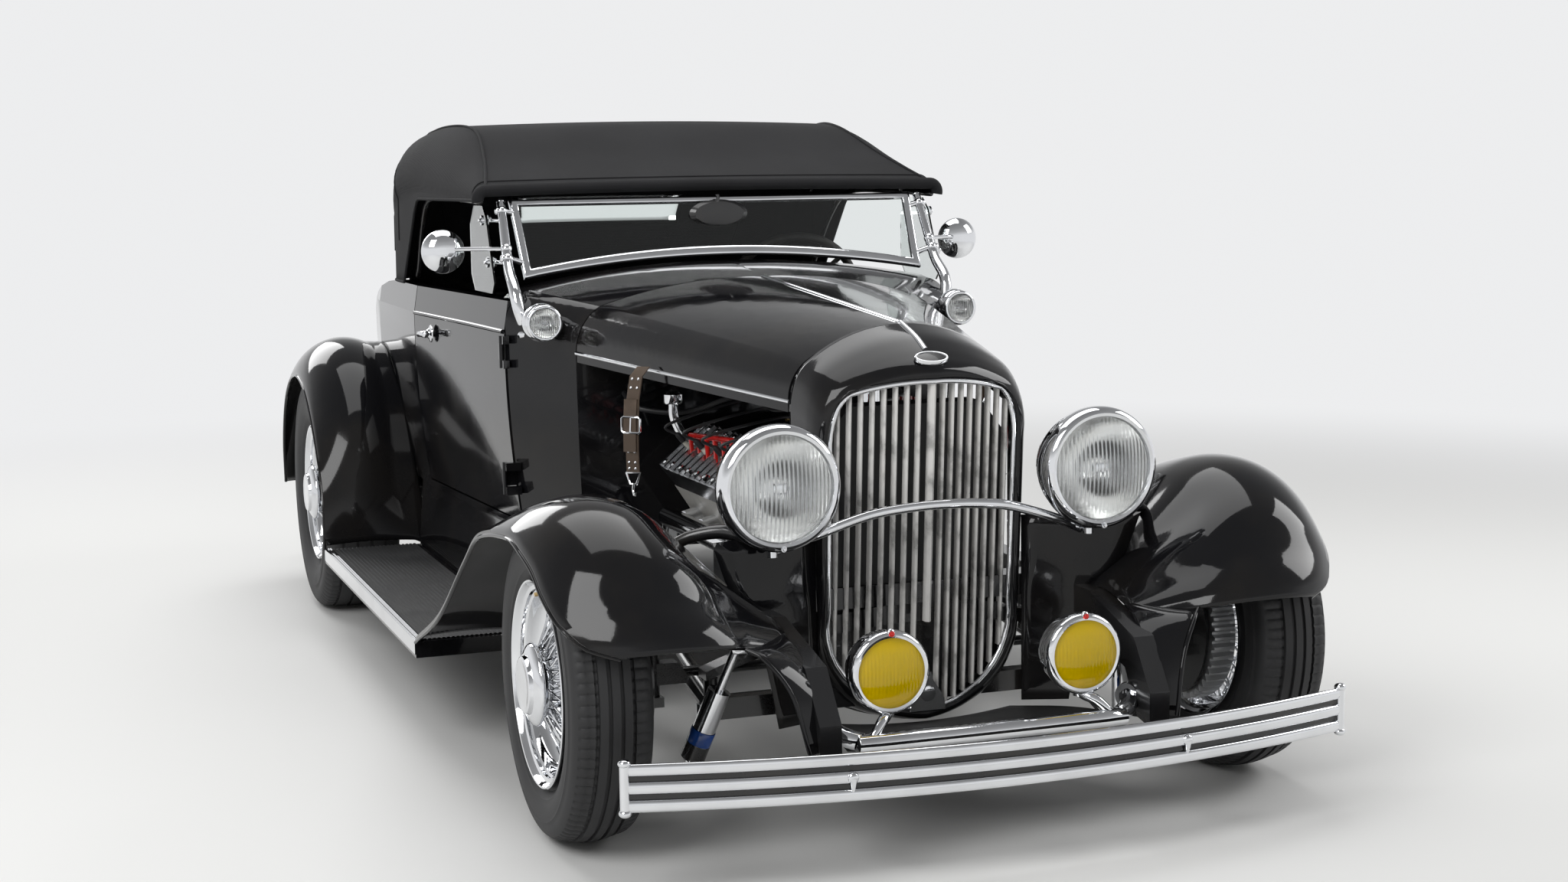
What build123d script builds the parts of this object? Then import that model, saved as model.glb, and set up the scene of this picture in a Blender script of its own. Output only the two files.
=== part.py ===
from build123d import *
import os
from math import atan2, cos, radians, sin, sqrt

os.makedirs("parts", exist_ok=True)

# All sizes are millimetres. +X is the car's left side, +Y the rear, +Z up, the ground is z = 0.
# Lengthwise places are stations, counted back from the front axle, and at() turns one into y.

# Overall sizes
wheelbase = 2692
front_overhang = 556
rear_overhang = 956
front_half_track = 742
rear_half_track = 768
front_tyre_radius = 321
rear_tyre_radius = 359
front_tyre_width = 166
rear_tyre_width = 224
fender_half_width = 905
body_half_width = 655

# Heights
frame_top = 445
frame_bottom = 345
belt_height = 945
cockpit_rim_height = 1020
running_board_height = 250
roof_height = 1466
header_height = 1275

# Stations
shell_rear_station = 62
cowl_front_station = 928
door_front_station = 1145
cowl_rear_station = 1216
door_rear_station = 2048
cockpit_rear_station = 2436
body_rear_station = 3425

# Clearances
shut_gap = 5
seat_gap = 0.3
running_fit = 0.05

body_bottom = frame_top + seat_gap

# Sheet and wall thicknesses
panel = 6
hood_panel = 6
body_wall = 38
fabric = 10
glass = 5

front_axle_y = (front_overhang - rear_overhang - wheelbase) / 2
rear_axle_station = wheelbase


def at(station):
    """Row position of a station."""
    return front_axle_y + station


def point(x, station, z):
    """A point given by side position, station and height."""
    return Vector(x, at(station), z)


def rod(start, end, radius):
    """A round bar between two points."""
    run = end - start
    return extrude(Plane(origin=start, z_dir=run) * Circle(radius), amount=run.length)


def bent_rod(points, radius, bend):
    """A round bar through several points with bends of one radius."""
    path = FilletPolyline(*points, radius=bend)
    start = Plane(origin=path @ 0, z_dir=path % 0)
    return sweep(start * Circle(radius), path=path)


def block(x_range, station_range, z_range):
    """A box between two values on each axis."""
    size = (x_range[1] - x_range[0], station_range[1] - station_range[0], z_range[1] - z_range[0])
    middle = (sum(x_range) / 2, at(sum(station_range) / 2), sum(z_range) / 2)
    return Pos(*middle) * Box(*size)


def side_extrude(outline, x_range):
    """A side view outline of (station, z) points made into a solid between two x values."""
    corners = [(at(s), z) for s, z in outline]
    face = Plane(origin=(x_range[0], 0, 0), x_dir=(0, 1, 0), z_dir=(1, 0, 0)) * make_face(
        Polyline(*corners, close=True)
    )
    return extrude(face, amount=x_range[1] - x_range[0])


def plan_extrude(outline, z_range):
    """A plan view outline of (x, station) points made into a solid between two heights."""
    face = Pos(0, 0, z_range[0]) * make_face(Polyline(*[(x, at(s)) for x, s in outline], close=True))
    return extrude(face, amount=z_range[1] - z_range[0])


def front_extrude(outline, station_range):
    """A front view outline of (x, z) points made into a solid between two stations."""
    face = Plane(origin=(0, at(station_range[1]), 0), x_dir=(1, 0, 0), z_dir=(0, -1, 0)) * make_face(
        Polyline(*outline, close=True)
    )
    return extrude(face, amount=station_range[1] - station_range[0])


def mirrored(shape):
    """The same piece on the car's other side."""
    return mirror(shape, about=Plane.YZ)


def turned(profile, centre, sweep_angle=360):
    """A profile drawn as (x, radius) turned about the line through centre along X."""
    face = Plane(origin=centre, x_dir=(1, 0, 0), z_dir=(0, -1, 0)) * profile
    return revolve(face, axis=Axis(centre, (1, 0, 0)), revolution_arc=sweep_angle)


def polygon(*corners):
    """A flat face with straight sides."""
    return make_face(Polyline(*corners, close=True))


def solids_of(*shapes):
    """Every solid in the shapes given."""
    return [solid for shape in shapes for solid in shape.solids()]


def save(node, *shapes):
    """Write one sub-part."""
    solids = solids_of(*shapes)
    export_step(solids[0] if len(solids) == 1 else Compound(children=solids), f"parts/{node}.step")


def split_side(shape, left):
    """The half of a shape on one side of the centre plane."""
    reach = 5000
    half = Pos(reach / 2 if left else -reach / 2, 0, 0) * Box(reach, 2 * reach, 2 * reach)
    return shape & half


# Frame: two pressed rails with crossmembers

rail_width = 45
rail_plan = [(375, -420), (390, 0), (470, 900), (575, 1300), (575, 2280), (510, 2480), (470, 3480)]
rail_top = [(-420, 285), (-350, 385), (-140, frame_top), (2440, frame_top), (2560, 600), (2900, 600),
            (3060, frame_top), (3480, frame_top)]
rail_bottom = [(3480, 370), (3030, 370), (2860, 510), (2600, 510), (2470, frame_bottom), (190, frame_bottom),
               (80, 374), (-90, 374), (-310, 315), (-365, 225), (-420, 215)]
crossmember_height = 45
shaft_radius = 36
shaft_z = 400
crossmembers = [
    # station from, station to, half length, top, kind of member
    (-30, 40, 350, 470),
    (1050, 1110, 495, 440),
    (2665, 2725, 460, 600),
    (3420, 3475, 432, 442),
]

rail_inner = [(x - rail_width, s) for x, s in reversed(rail_plan)]
rail = plan_extrude(rail_plan + rail_inner, (0, 1000)) & side_extrude(rail_top + rail_bottom, (0, 1000))
rail_seat_plan = [(x + seat_gap, s) for x, s in rail_plan] + [(x - seat_gap, s) for x, s in rail_inner]
rail_seat = plan_extrude(rail_seat_plan, (0, 1000)) & side_extrude(
    [(s, z + seat_gap) for s, z in rail_top] + [(s, z - seat_gap) for s, z in rail_bottom], (0, 1000)
)
frame = rail + mirrored(rail)
for station_from, station_to, half_length, top in crossmembers:
    frame += block((-half_length, half_length), (station_from, station_to), (top - crossmember_height, top))
shaft_tunnel = rod(point(0, 1000, shaft_z), point(0, 1200, shaft_z), shaft_radius + 12)
frame -= shaft_tunnel
save("frame", frame)

# Front axle: dropped beam, kingpin bosses, spring perches

kingpin_x = 588
kingpin_radius = 12
boss_radius = 24
boss_height = 90
beam_depth = 44
beam_width = 40
drop = 84
spring_eye_x = 470

axle_z = front_tyre_radius
beam_low = axle_z - drop
beam_outline = [
    (-kingpin_x, axle_z + beam_depth / 2), (-kingpin_x + 60, axle_z + beam_depth / 2),
    (-spring_eye_x, beam_low + beam_depth / 2), (spring_eye_x, beam_low + beam_depth / 2),
    (kingpin_x - 60, axle_z + beam_depth / 2), (kingpin_x, axle_z + beam_depth / 2),
    (kingpin_x, axle_z - beam_depth / 2), (kingpin_x - 75, axle_z - beam_depth / 2),
    (spring_eye_x - 15, beam_low - beam_depth / 2), (-spring_eye_x + 15, beam_low - beam_depth / 2),
    (-kingpin_x + 75, axle_z - beam_depth / 2), (-kingpin_x, axle_z - beam_depth / 2),
]
front_axle = front_extrude(beam_outline, (-beam_width / 2, beam_width / 2))
for side in (-1, 1):
    foot = point(side * kingpin_x, 0, axle_z - boss_height / 2)
    top = point(side * kingpin_x, 0, axle_z + boss_height / 2)
    front_axle += rod(foot, top, boss_radius)
    front_axle -= rod(foot, top, kingpin_radius + running_fit)
    front_axle += rod(point(side * (spring_eye_x - 18), 5, beam_low),
                      point(side * (spring_eye_x - 18), 5, beam_low + beam_depth / 2 + 40 - seat_gap), 15)
save("front_axle", front_axle)

# Leaf springs: crosswise stacks under the front and rear crossmembers

leaf_width = 50
springs = [
    # station, half span, eye height, height under the crossmember, stack depth
    (5, 470, beam_low + beam_depth / 2 + 40, 425 - seat_gap, 40),
    (2695, 500, 440, 555 - seat_gap, 40),
]


def leaf_spring(station, half_span, eye_z, top_z, depth):
    """An arched stack of leaves with round eyes that rest in their perches."""
    leaves = []
    for share, low, high in ((1.0, 0.0, 0.45), (0.72, 0.45, 0.75), (0.4, 0.75, 1.0)):
        span = half_span * share
        end_z = eye_z + (top_z - depth - eye_z) * (1 - share**2)
        upper, lower = high * depth, low * depth
        arch = ThreePointArc((-span, end_z + upper), (0, top_z - depth + upper), (span, end_z + upper))
        under = ThreePointArc((span, end_z + lower), (0, top_z - depth + lower), (-span, end_z + lower))
        outline = [arch, Line(arch @ 1, under @ 0), under, Line(under @ 1, arch @ 0)]
        face = Plane(origin=(0, at(station + leaf_width / 2), 0), x_dir=(1, 0, 0), z_dir=(0, -1, 0)) * (
            make_face(outline)
        )
        leaves.append(extrude(face, amount=leaf_width))
    stack = leaves[0] + leaves[1] + leaves[2]
    return stack


front_leaves, rear_leaves = [leaf_spring(*row) for row in springs]
save("leaf_springs", front_leaves, rear_leaves)

# Rear axle: tubes, final drive housing, brake backing plates

rear_axle_z = rear_tyre_radius
rear_tube_radius = 38
rear_spindle_radius = 20
rear_plate_x = rear_half_track - 100
housing = [(-120, 0), (-120, 60), (-80, 112), (0, 136), (80, 112), (120, 60), (120, 0)]
perch_radius = 16
rear_centre = point(0, rear_axle_station, rear_axle_z)
rear_axle = turned(polygon(*housing), rear_centre)
rear_axle += rod(point(-rear_plate_x, rear_axle_station, rear_axle_z),
                 point(rear_plate_x, rear_axle_station, rear_axle_z), rear_tube_radius)
for side in (-1, 1):
    rear_axle += rod(point(side * rear_plate_x, rear_axle_station, rear_axle_z),
                     point(side * (rear_plate_x + 6), rear_axle_station, rear_axle_z), 150)
    rear_axle += rod(point(side * rear_plate_x, rear_axle_station, rear_axle_z),
                     point(side * (rear_half_track + 20), rear_axle_station, rear_axle_z),
                     rear_spindle_radius)
    rear_axle += rod(point(side * 485, rear_axle_station, rear_axle_z),
                     point(side * 485, rear_axle_station, 440 - seat_gap), perch_radius)
save("rear_axle", rear_axle)

# Wheels: wire wheel with brake drum and cap, and tyre

rim_radius = 203
rim_bead_radius = 190
rim_well_radius = 172
rim_half_width = 78
rear_rim_half_width = 94
trim_ring_radius = 210
hub_radius = 42
spoke_flange_radius = 78
spoke_count = 32
spoke_radius = 3.2
cap_radius = 84
cap_crown = 21
drum_radius = 166
drum_width = 62


def wheel(spindle_radius, ring_offset, half_width, drum_offset):
    """A wheel turned about X with its outer face towards +X and its middle plane at x = 0."""
    centre = Vector(0, 0, 0)
    rim = polygon(
        (-half_width, rim_radius), (-half_width + 9, rim_radius), (-half_width + 12, rim_bead_radius),
        (-half_width + 40, rim_bead_radius), (-half_width + 52, rim_well_radius),
        (half_width - 52, rim_well_radius), (half_width - 40, rim_bead_radius),
        (half_width - 12, rim_bead_radius), (half_width - 9, trim_ring_radius), (half_width, trim_ring_radius),
        (half_width - 3, rim_bead_radius - 8), (half_width - 36, rim_bead_radius - 8),
        (half_width - 48, rim_well_radius - 6), (-half_width + 48, rim_well_radius - 6),
        (-half_width + 36, rim_bead_radius - 6), (-half_width + 5, rim_bead_radius - 6),
    )
    cap_face = ring_offset + cap_crown
    hub = polygon(
        (drum_offset + 8, spindle_radius + running_fit * 2), (drum_offset + 8, hub_radius),
        (drum_offset + drum_width - 6, hub_radius), (drum_offset + drum_width - 6, drum_radius - 16),
        (drum_offset, drum_radius - 16), (drum_offset, drum_radius),
        (drum_offset + drum_width, drum_radius), (drum_offset + drum_width, hub_radius + 20),
        (ring_offset - 6, hub_radius + 24), (ring_offset - 4, cap_radius), (ring_offset + 2, cap_radius),
        (ring_offset + 8, cap_radius - 22), (cap_face, cap_radius - 27), (cap_face, 0),
        (ring_offset - 10, 0), (ring_offset - 10, spindle_radius + running_fit * 2),
    )
    body = turned(rim, centre) + turned(hub, centre)
    inner_x = drum_offset + drum_width
    for number in range(spoke_count):
        angle = 360 / spoke_count * number
        lean = 12 if number % 2 else -12
        root_x = ring_offset - 16 if number % 4 < 2 else inner_x + 10
        root = Vector(root_x, (hub_radius + 16) * cos(radians(angle)), (hub_radius + 16) * sin(radians(angle)))
        tip_reach = rim_well_radius - 2
        tip = Vector(0, tip_reach * cos(radians(angle + lean)), tip_reach * sin(radians(angle + lean)))
        body += rod(root, tip, spoke_radius)
    return body


def tyre(radius, width, rim_half, tread_share, crown_drop):
    """A tyre turned about X with its middle plane at x = 0."""
    half = width / 2
    tread = width * tread_share
    bead = rim_half - 14
    sidewall_z = (radius + rim_radius) / 2 - 8
    tread_edge = (tread, radius - crown_drop)
    wall_top = (half - 2, sidewall_z + 28)
    shoulder = (tread_edge[0] + (wall_top[0] - tread_edge[0]) * 0.71,
                wall_top[1] + (tread_edge[1] - wall_top[1]) * 0.71)
    outline = [
        ThreePointArc((-tread_edge[0], tread_edge[1]), (0, radius), tread_edge),
        ThreePointArc(tread_edge, shoulder, wall_top),
        ThreePointArc(wall_top, (half, sidewall_z), (bead, trim_ring_radius + 3)),
        Line((bead, trim_ring_radius + 3), (bead, rim_bead_radius + seat_gap)),
        Line((bead, rim_bead_radius + seat_gap), (-bead, rim_bead_radius + seat_gap)),
        Line((-bead, rim_bead_radius + seat_gap), (-bead, trim_ring_radius + 3)),
        ThreePointArc((-bead, trim_ring_radius + 3), (-half, sidewall_z), (-wall_top[0], wall_top[1])),
        ThreePointArc((-wall_top[0], wall_top[1]), (-shoulder[0], shoulder[1]), (-tread_edge[0], tread_edge[1])),
    ]
    return turned(make_face(outline), Vector(0, 0, 0))


front_drum_offset = -110
rear_drum_offset = -90
front_ring_offset = 84
rear_ring_offset = 100
front_wheel = wheel(rear_spindle_radius, front_ring_offset, rim_half_width, front_drum_offset)
rear_wheel = wheel(rear_spindle_radius, rear_ring_offset, rear_rim_half_width, rear_drum_offset)
front_tyre = tyre(front_tyre_radius, front_tyre_width, rim_half_width, 0.3, 9)
rear_tyre = tyre(rear_tyre_radius, rear_tyre_width, rear_rim_half_width, 0.39, 5)
wheel_places = [
    # name, half track, station, radius, wheel, tyre
    ("front", front_half_track, 0, front_tyre_radius, front_wheel, front_tyre),
    ("rear", rear_half_track, rear_axle_station, rear_tyre_radius, rear_wheel, rear_tyre),
]
for name, half_track, station, radius, wheel_shape, tyre_shape in wheel_places:
    place = Pos(half_track, at(station), radius)
    save(f"{name}_left_wheel", place * wheel_shape)
    save(f"{name}_right_wheel", mirrored(place * wheel_shape))
    save(f"{name}_left_tyre", place * tyre_shape)
    save(f"{name}_right_tyre", mirrored(place * tyre_shape))

# Steering knuckles and tie rod

knuckle_height = 132
arm_length = 150
arm_z = axle_z - boss_height / 2 - 16
tie_rod_radius = 11
steer_pin_radius = 8

plate_x = front_half_track + front_drum_offset - 8
slot = (axle_z - boss_height / 2 - 0.5, axle_z + boss_height / 2 + 0.5)
knuckle = block((kingpin_x - 26, plate_x), (-28, 28), (axle_z - knuckle_height / 2, axle_z + knuckle_height / 2))
knuckle -= block((kingpin_x - 60, kingpin_x + boss_radius + 5), (-40, 40), slot)
knuckle += rod(point(kingpin_x, 0, slot[0] - 5), point(kingpin_x, 0, slot[1] + 5), kingpin_radius)
knuckle += rod(point(plate_x - 4, 0, axle_z), point(front_half_track + 40, 0, axle_z), rear_spindle_radius)
knuckle += rod(point(plate_x - 6, 0, axle_z), point(plate_x, 0, axle_z), 150)
knuckle += block((kingpin_x - 14, kingpin_x + 10), (20, arm_length + 14), (arm_z - 8, arm_z + 8))
knuckle -= rod(point(kingpin_x, arm_length, arm_z - 20), point(kingpin_x, arm_length, arm_z + 20),
               steer_pin_radius + running_fit)
save("left_knuckle", knuckle)
save("right_knuckle", mirrored(knuckle))

tie_z = arm_z + 8 + 4 + tie_rod_radius
tie_rod = rod(point(-kingpin_x + 2, arm_length, tie_z), point(kingpin_x - 2, arm_length, tie_z), tie_rod_radius)
for side in (-1, 1):
    tie_rod += rod(point(side * kingpin_x, arm_length, tie_z - tie_rod_radius - 1),
                   point(side * kingpin_x, arm_length, tie_z + tie_rod_radius + 1), 15)
    tie_rod += rod(point(side * kingpin_x, arm_length, arm_z - 14),
                   point(side * kingpin_x, arm_length, tie_z), steer_pin_radius)
save("tie_rod", tie_rod)

# Radius rods, front and rear

rod_radius = 15
front_rod_end = point(370, 860, 362)
front_rod = rod(point(430, beam_width / 2 + 2.2, beam_low - 12), front_rod_end, rod_radius)
front_rod += rod(front_rod_end, front_rod_end + Vector(90, 0, 0), 9)
front_rod -= rail_seat
front_rod = max(front_rod.solids(), key=lambda piece: piece.volume)
rear_rod = rod(point(425, rear_axle_station - rear_tube_radius - 2.2, rear_axle_z), point(340, 1800, 345), rod_radius)
rear_rod += rod(point(340, 1800, 345), point(490, 1760, 345), rod_radius)
save("radius_rods", front_rod, mirrored(front_rod), rear_rod, mirrored(rear_rod))

# Front shock absorbers

shock_top = point(431, -110, 388)
shock_foot = point(512, -50, 150)
shock_bracket = point(478, -8, 150)
shock_middle = shock_foot + (shock_top - shock_foot) * 0.6
shock = rod(shock_foot, shock_middle, 24) + rod(shock_middle, shock_top, 9)
shock += rod(shock_foot, shock_bracket, 9) + rod(shock_bracket, shock_bracket + Vector(0, 0, 100), 10)
shock += rod(shock_top - Vector(-12, 0, 10), shock_top - Vector(70, 0, 10), 9)
shock -= rail_seat
shock -= Pos(0, 0, -seat_gap) * front_axle
shock = max(shock.solids(), key=lambda piece: piece.volume)
save("front_shocks", shock, mirrored(shock))

# Engine, gearbox and drive shaft

engine_front_station = 210
engine_length = 560
crank_z = 420
engine_rear_station = engine_front_station + engine_length
vee = [(-150, 330), (150, 330), (175, crank_z), (285, 590), (175, 690), (60, 640), (-60, 640), (-175, 690),
       (-285, 590), (-175, crank_z)]
engine = front_extrude(vee, (engine_front_station, engine_rear_station))
engine += block((-110, 110), (engine_front_station + 60, engine_rear_station - 120), (280, 340))
engine += rod(point(0, engine_front_station, crank_z), point(0, engine_front_station - 45, crank_z), 80)
save("engine_block", engine)

head_outline = [(285.3, 590.2), (175.3, 690.2), (212, 733), (322, 637)]
head = front_extrude(head_outline, (engine_front_station + 10, engine_rear_station - 10))
fin_count = 14
fin_pitch = (engine_length - 60) / (fin_count - 1)
for number in range(fin_count):
    fin_station = engine_front_station + 30 + fin_pitch * number
    fin = front_extrude([(318, 636), (210, 730), (220, 742), (331, 646)], (fin_station - 5, fin_station + 5))
    head += fin
valley = [(-56, 640 + seat_gap), (56, 640 + seat_gap), (150, 679.5), (150, 716), (-150, 716), (-150, 679.5)]
manifold = front_extrude(valley, (engine_front_station + 60, engine_rear_station - 60))
manifold += rod(point(0, 400, 700), point(0, 400, 800), 45) + rod(point(0, 590, 700), point(0, 590, 800), 45)
manifold += rod(point(0, 400, 800), point(0, 400, 880), 85) + rod(point(0, 590, 800), point(0, 590, 880), 85)
save("cylinder_heads", head, mirrored(head))
save("intake", manifold)

gearbox = block((-110, 110), (engine_rear_station + seat_gap, 1020), (300, body_bottom - 4))
shaft_end = point(0, rear_axle_station - 136 - seat_gap, rear_axle_z)
gearbox += rod(point(0, 1020, shaft_z), point(0, 1205, shaft_z), shaft_radius + 6)
gearbox += rod(point(0, 1180, shaft_z), shaft_end, shaft_radius)
save("gearbox", gearbox)

# Radiator, its shell and grille

shell_front_top_station = -100
shell_front_low_station = -49
shell_low = 165
grille_low = 202
grille_top = 905
grille_half_width = 211
shell_half_width = 238
shell_lean = (shell_front_top_station - shell_front_low_station) / (grille_top - grille_low)


def shell_outline(half_width, top, shoulder, low):
    """A rounded upright outline, drawn as (x, z), as closed arcs and lines."""
    top_arc = ThreePointArc((-shoulder[0], shoulder[1]), (0, top), shoulder)
    corner = (half_width, shoulder[1] - 120)
    middle = ((half_width + shoulder[0]) / 2 + 10, shoulder[1] - 50)
    low_corner = (half_width - 2, low + 215)
    low_shoulder = (half_width * 0.5, low + 25)
    low_middle = (half_width * 0.86, low + 88)
    return [
        top_arc,
        ThreePointArc(shoulder, middle, corner),
        Line(corner, low_corner),
        ThreePointArc(low_corner, low_middle, low_shoulder),
        ThreePointArc(low_shoulder, (0, low), (-low_shoulder[0], low_shoulder[1])),
        ThreePointArc((-low_shoulder[0], low_shoulder[1]), (-low_middle[0], low_middle[1]),
                      (-low_corner[0], low_corner[1])),
        Line((-low_corner[0], low_corner[1]), (-corner[0], corner[1])),
        ThreePointArc((-corner[0], corner[1]), (-middle[0], middle[1]), (-shoulder[0], shoulder[1])),
    ]


def leaning_plane(station_at_ground):
    """An upright plane that leans forward towards its top as the grille does."""
    return Plane(origin=(0, at(station_at_ground), 0), x_dir=(1, 0, 0), z_dir=(0, -1, shell_lean))


shell_ground_station = shell_front_low_station - shell_lean * grille_low
shell_front = leaning_plane(shell_ground_station - 12) * make_face(
    shell_outline(shell_half_width - 14, 935, (170, 898), shell_low + 16)
)
shell_rear_plane = Plane(origin=(0, at(shell_rear_station), 0), x_dir=(1, 0, 0), z_dir=(0, -1, 0))
shell_rear = shell_rear_plane * make_face(shell_outline(shell_half_width + 12, 1010, (209, 937), shell_low))
shell = loft([shell_rear, shell_front], ruled=True)
core_front = leaning_plane(shell_ground_station - 40) * make_face(
    shell_outline(grille_half_width, grille_top, (160, 868), grille_low)
)
core_rear = Plane(origin=(0, at(shell_rear_station + 20), 0), x_dir=(1, 0, 0), z_dir=(0, -1, 0)) * make_face(
    shell_outline(grille_half_width + 16, 985, (185, 905), grille_low)
)
shell -= loft([core_rear, core_front], ruled=True)
shell -= block((-300, 300), (-36, 200), (0, 470 + seat_gap))
save("radiator_shell", shell)

# Grille: surround, centre bar and upright bars behind a swept front

grille_face = leaning_plane(shell_ground_station) * make_face(
    shell_outline(grille_half_width - 1, grille_top - 1, (159, 867), grille_low + 1)
)
grille_inner = leaning_plane(shell_ground_station) * make_face(
    shell_outline(grille_half_width - 13, grille_top - 13, (149, 855), grille_low + 13)
)
ring = extrude(grille_face, amount=-14) - extrude(grille_inner, amount=-14)
bar_count = 8
bar_width = 9
bar_pitch = (grille_half_width - 26) / bar_count
inside = extrude(leaning_plane(shell_ground_station) * make_face(
    shell_outline(grille_half_width - 12, grille_top - 12, (150, 856), grille_low + 12)
), amount=-12)
grille = ring
bar_places = [0]
for number in range(1, bar_count + 1):
    bar_places += [number * bar_pitch + 4, -number * bar_pitch - 4]
for place in bar_places:
    width = 14 if place == 0 else bar_width
    bar = leaning_plane(shell_ground_station) * Pos(place, (grille_low + grille_top) / 2) * Rectangle(
        width, grille_top
    )
    grille += extrude(bar, amount=-10) & inside
save("grille", grille)

radiator_outline = [(-196, 470 + seat_gap), (196, 470 + seat_gap), (196, 785), (150, 845), (-150, 845), (-196, 785)]
radiator = front_extrude(radiator_outline, (-20, 58))
save("radiator", radiator)

# Hood: two halves hinged on the centre line

hood_front_section = dict(belt=(250, 853), side=(243, 893), shoulder=(209, 937), crown=(108, 987), top=1010)
hood_rear_section = dict(belt=(478, 902), side=(465, 960), shoulder=(415, 1013), crown=(215, 1060), top=1073)
cowl_rear_section = dict(belt=(606, belt_height), side=(600, 1000), shoulder=(548, 1050), crown=(280, 1090),
                         top=1102)
cowl_door_section = dict(belt=(602, 943), side=(596, 996), shoulder=(534, 1046), crown=(272, 1087), top=1099)
foot_tuck = 36


def hood_face(section, station, inset, floor, tuck=0):
    """The closed face under the left half of a hood or cowl section, down to a floor height."""
    belt_x, belt_z = section["belt"]
    start = (belt_x - inset, belt_z)
    side = (section["side"][0] - inset, section["side"][1] - inset * 0.3)
    shoulder = (section["shoulder"][0] - inset * 0.8, section["shoulder"][1] - inset * 0.6)
    crown = (section["crown"][0] - inset * 0.2, section["crown"][1] - inset)
    top = (0, section["top"] - inset)
    foot = (belt_x - inset - tuck, floor)
    waist = (belt_x - inset - tuck * 0.25, (belt_z + floor) / 2)
    edges = [
        ThreePointArc(foot, waist, start) if tuck else Line(foot, start),
        ThreePointArc(start, side, shoulder),
        ThreePointArc(shoulder, crown, top),
        Line(top, (0, floor)),
        Line((0, floor), foot),
    ]
    plane = Plane(origin=(0, at(station), 0), x_dir=(1, 0, 0), z_dir=(0, -1, 0))
    return plane * make_face(edges)


hinge_radius = 5
hood_gap = hinge_radius + seat_gap
hood_outer = loft([
    hood_face(hood_rear_section, cowl_front_station, 0, 880),
    hood_face(hood_front_section, shell_rear_station, 0, 831),
], ruled=True)
hood_inner = loft([
    hood_face(hood_rear_section, cowl_front_station + 2, hood_panel, 700),
    hood_face(hood_front_section, shell_rear_station - 2, hood_panel, 700),
], ruled=True)
hood_half = hood_outer - hood_inner
hood_half &= block((hood_gap, 900), (shell_rear_station + shut_gap + 1, cowl_front_station - shut_gap), (0, 2000))
save("left_hood", hood_half)
save("right_hood", mirrored(hood_half))

hinge_rise = hood_rear_section["top"] - hood_front_section["top"]
hinge_slope = hinge_rise / (cowl_front_station - shell_rear_station)
hinge_inset = seat_gap + hinge_radius * hinge_slope
hinge_strip = rod(
    point(0, shell_rear_station + hinge_inset, hood_front_section["top"] + hinge_inset * hinge_slope),
    point(0, cowl_front_station - hinge_inset, hood_rear_section["top"] - hinge_inset * hinge_slope), hinge_radius,
)
save("hood_hinge", hinge_strip)

# Cowl with firewall, and the dashboard

firewall = 14
cowl_outer = loft([
    hood_face(cowl_rear_section, cowl_rear_station, 0, body_bottom, foot_tuck),
    hood_face(cowl_door_section, door_front_station, 0, body_bottom, foot_tuck),
    hood_face(hood_rear_section, cowl_front_station, 0, body_bottom, 10),
], ruled=True)
cowl_inner = loft([
    hood_face(cowl_rear_section, cowl_rear_station + 1, body_wall, body_bottom - 20, foot_tuck),
    hood_face(cowl_door_section, door_front_station, body_wall, body_bottom - 20, foot_tuck),
    hood_face(hood_rear_section, cowl_front_station + firewall, body_wall, body_bottom - 20, 10),
], ruled=True)
cowl_half = cowl_outer - cowl_inner
cowl_half -= block((400, 800), (door_front_station - shut_gap, 1400), (0, cockpit_rim_height + shut_gap))
door_hinge_x = 611
door_hinge_station = door_front_station - shut_gap / 2
door_hinges = [
    # middle height, depth of the leaf behind the outer face
    (580, 36),
    (895, 14),
]
hinge_half = 20
hinge_leaf = 26
knuckle_radius = 6
for hinge_z, leaf_depth in door_hinges:
    for low, high in ((hinge_z - hinge_half - 20, hinge_z - hinge_half - seat_gap),
                      (hinge_z + hinge_half + seat_gap, hinge_z + hinge_half + 20)):
        cowl_half += rod(point(door_hinge_x, door_hinge_station, low),
                         point(door_hinge_x, door_hinge_station, high), knuckle_radius)
        cowl_half += block((door_hinge_x - leaf_depth, door_hinge_x + 2),
                           (door_hinge_station - hinge_leaf, door_hinge_station - shut_gap), (low, high))
        cowl_half += block((door_hinge_x - 3, door_hinge_x + 2),
                           (door_hinge_station - shut_gap - 1, door_hinge_station), (low, high))
cowl = cowl_half + mirrored(cowl_half)
save("cowl", cowl)

dash_half_width = 540
dashboard = block((-dash_half_width, dash_half_width), (cowl_rear_station + seat_gap, cowl_rear_station + 25),
                  (900, 1040))
save("dashboard", dashboard)

# Body sides: doors and the rear body around cockpit and deck

body_stations = [
    # station, half width at the belt
    (door_front_station, 603),
    (door_rear_station, body_half_width),
    (2692, 640),
    (3000, 600),
    (3220, 520),
    (3360, 400),
    (body_rear_station, 220),
]


deck_line = [(2560, 1012), (2850, 968), (3120, 860), (3300, 710), (3395, 560), (body_rear_station, body_bottom)]


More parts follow.
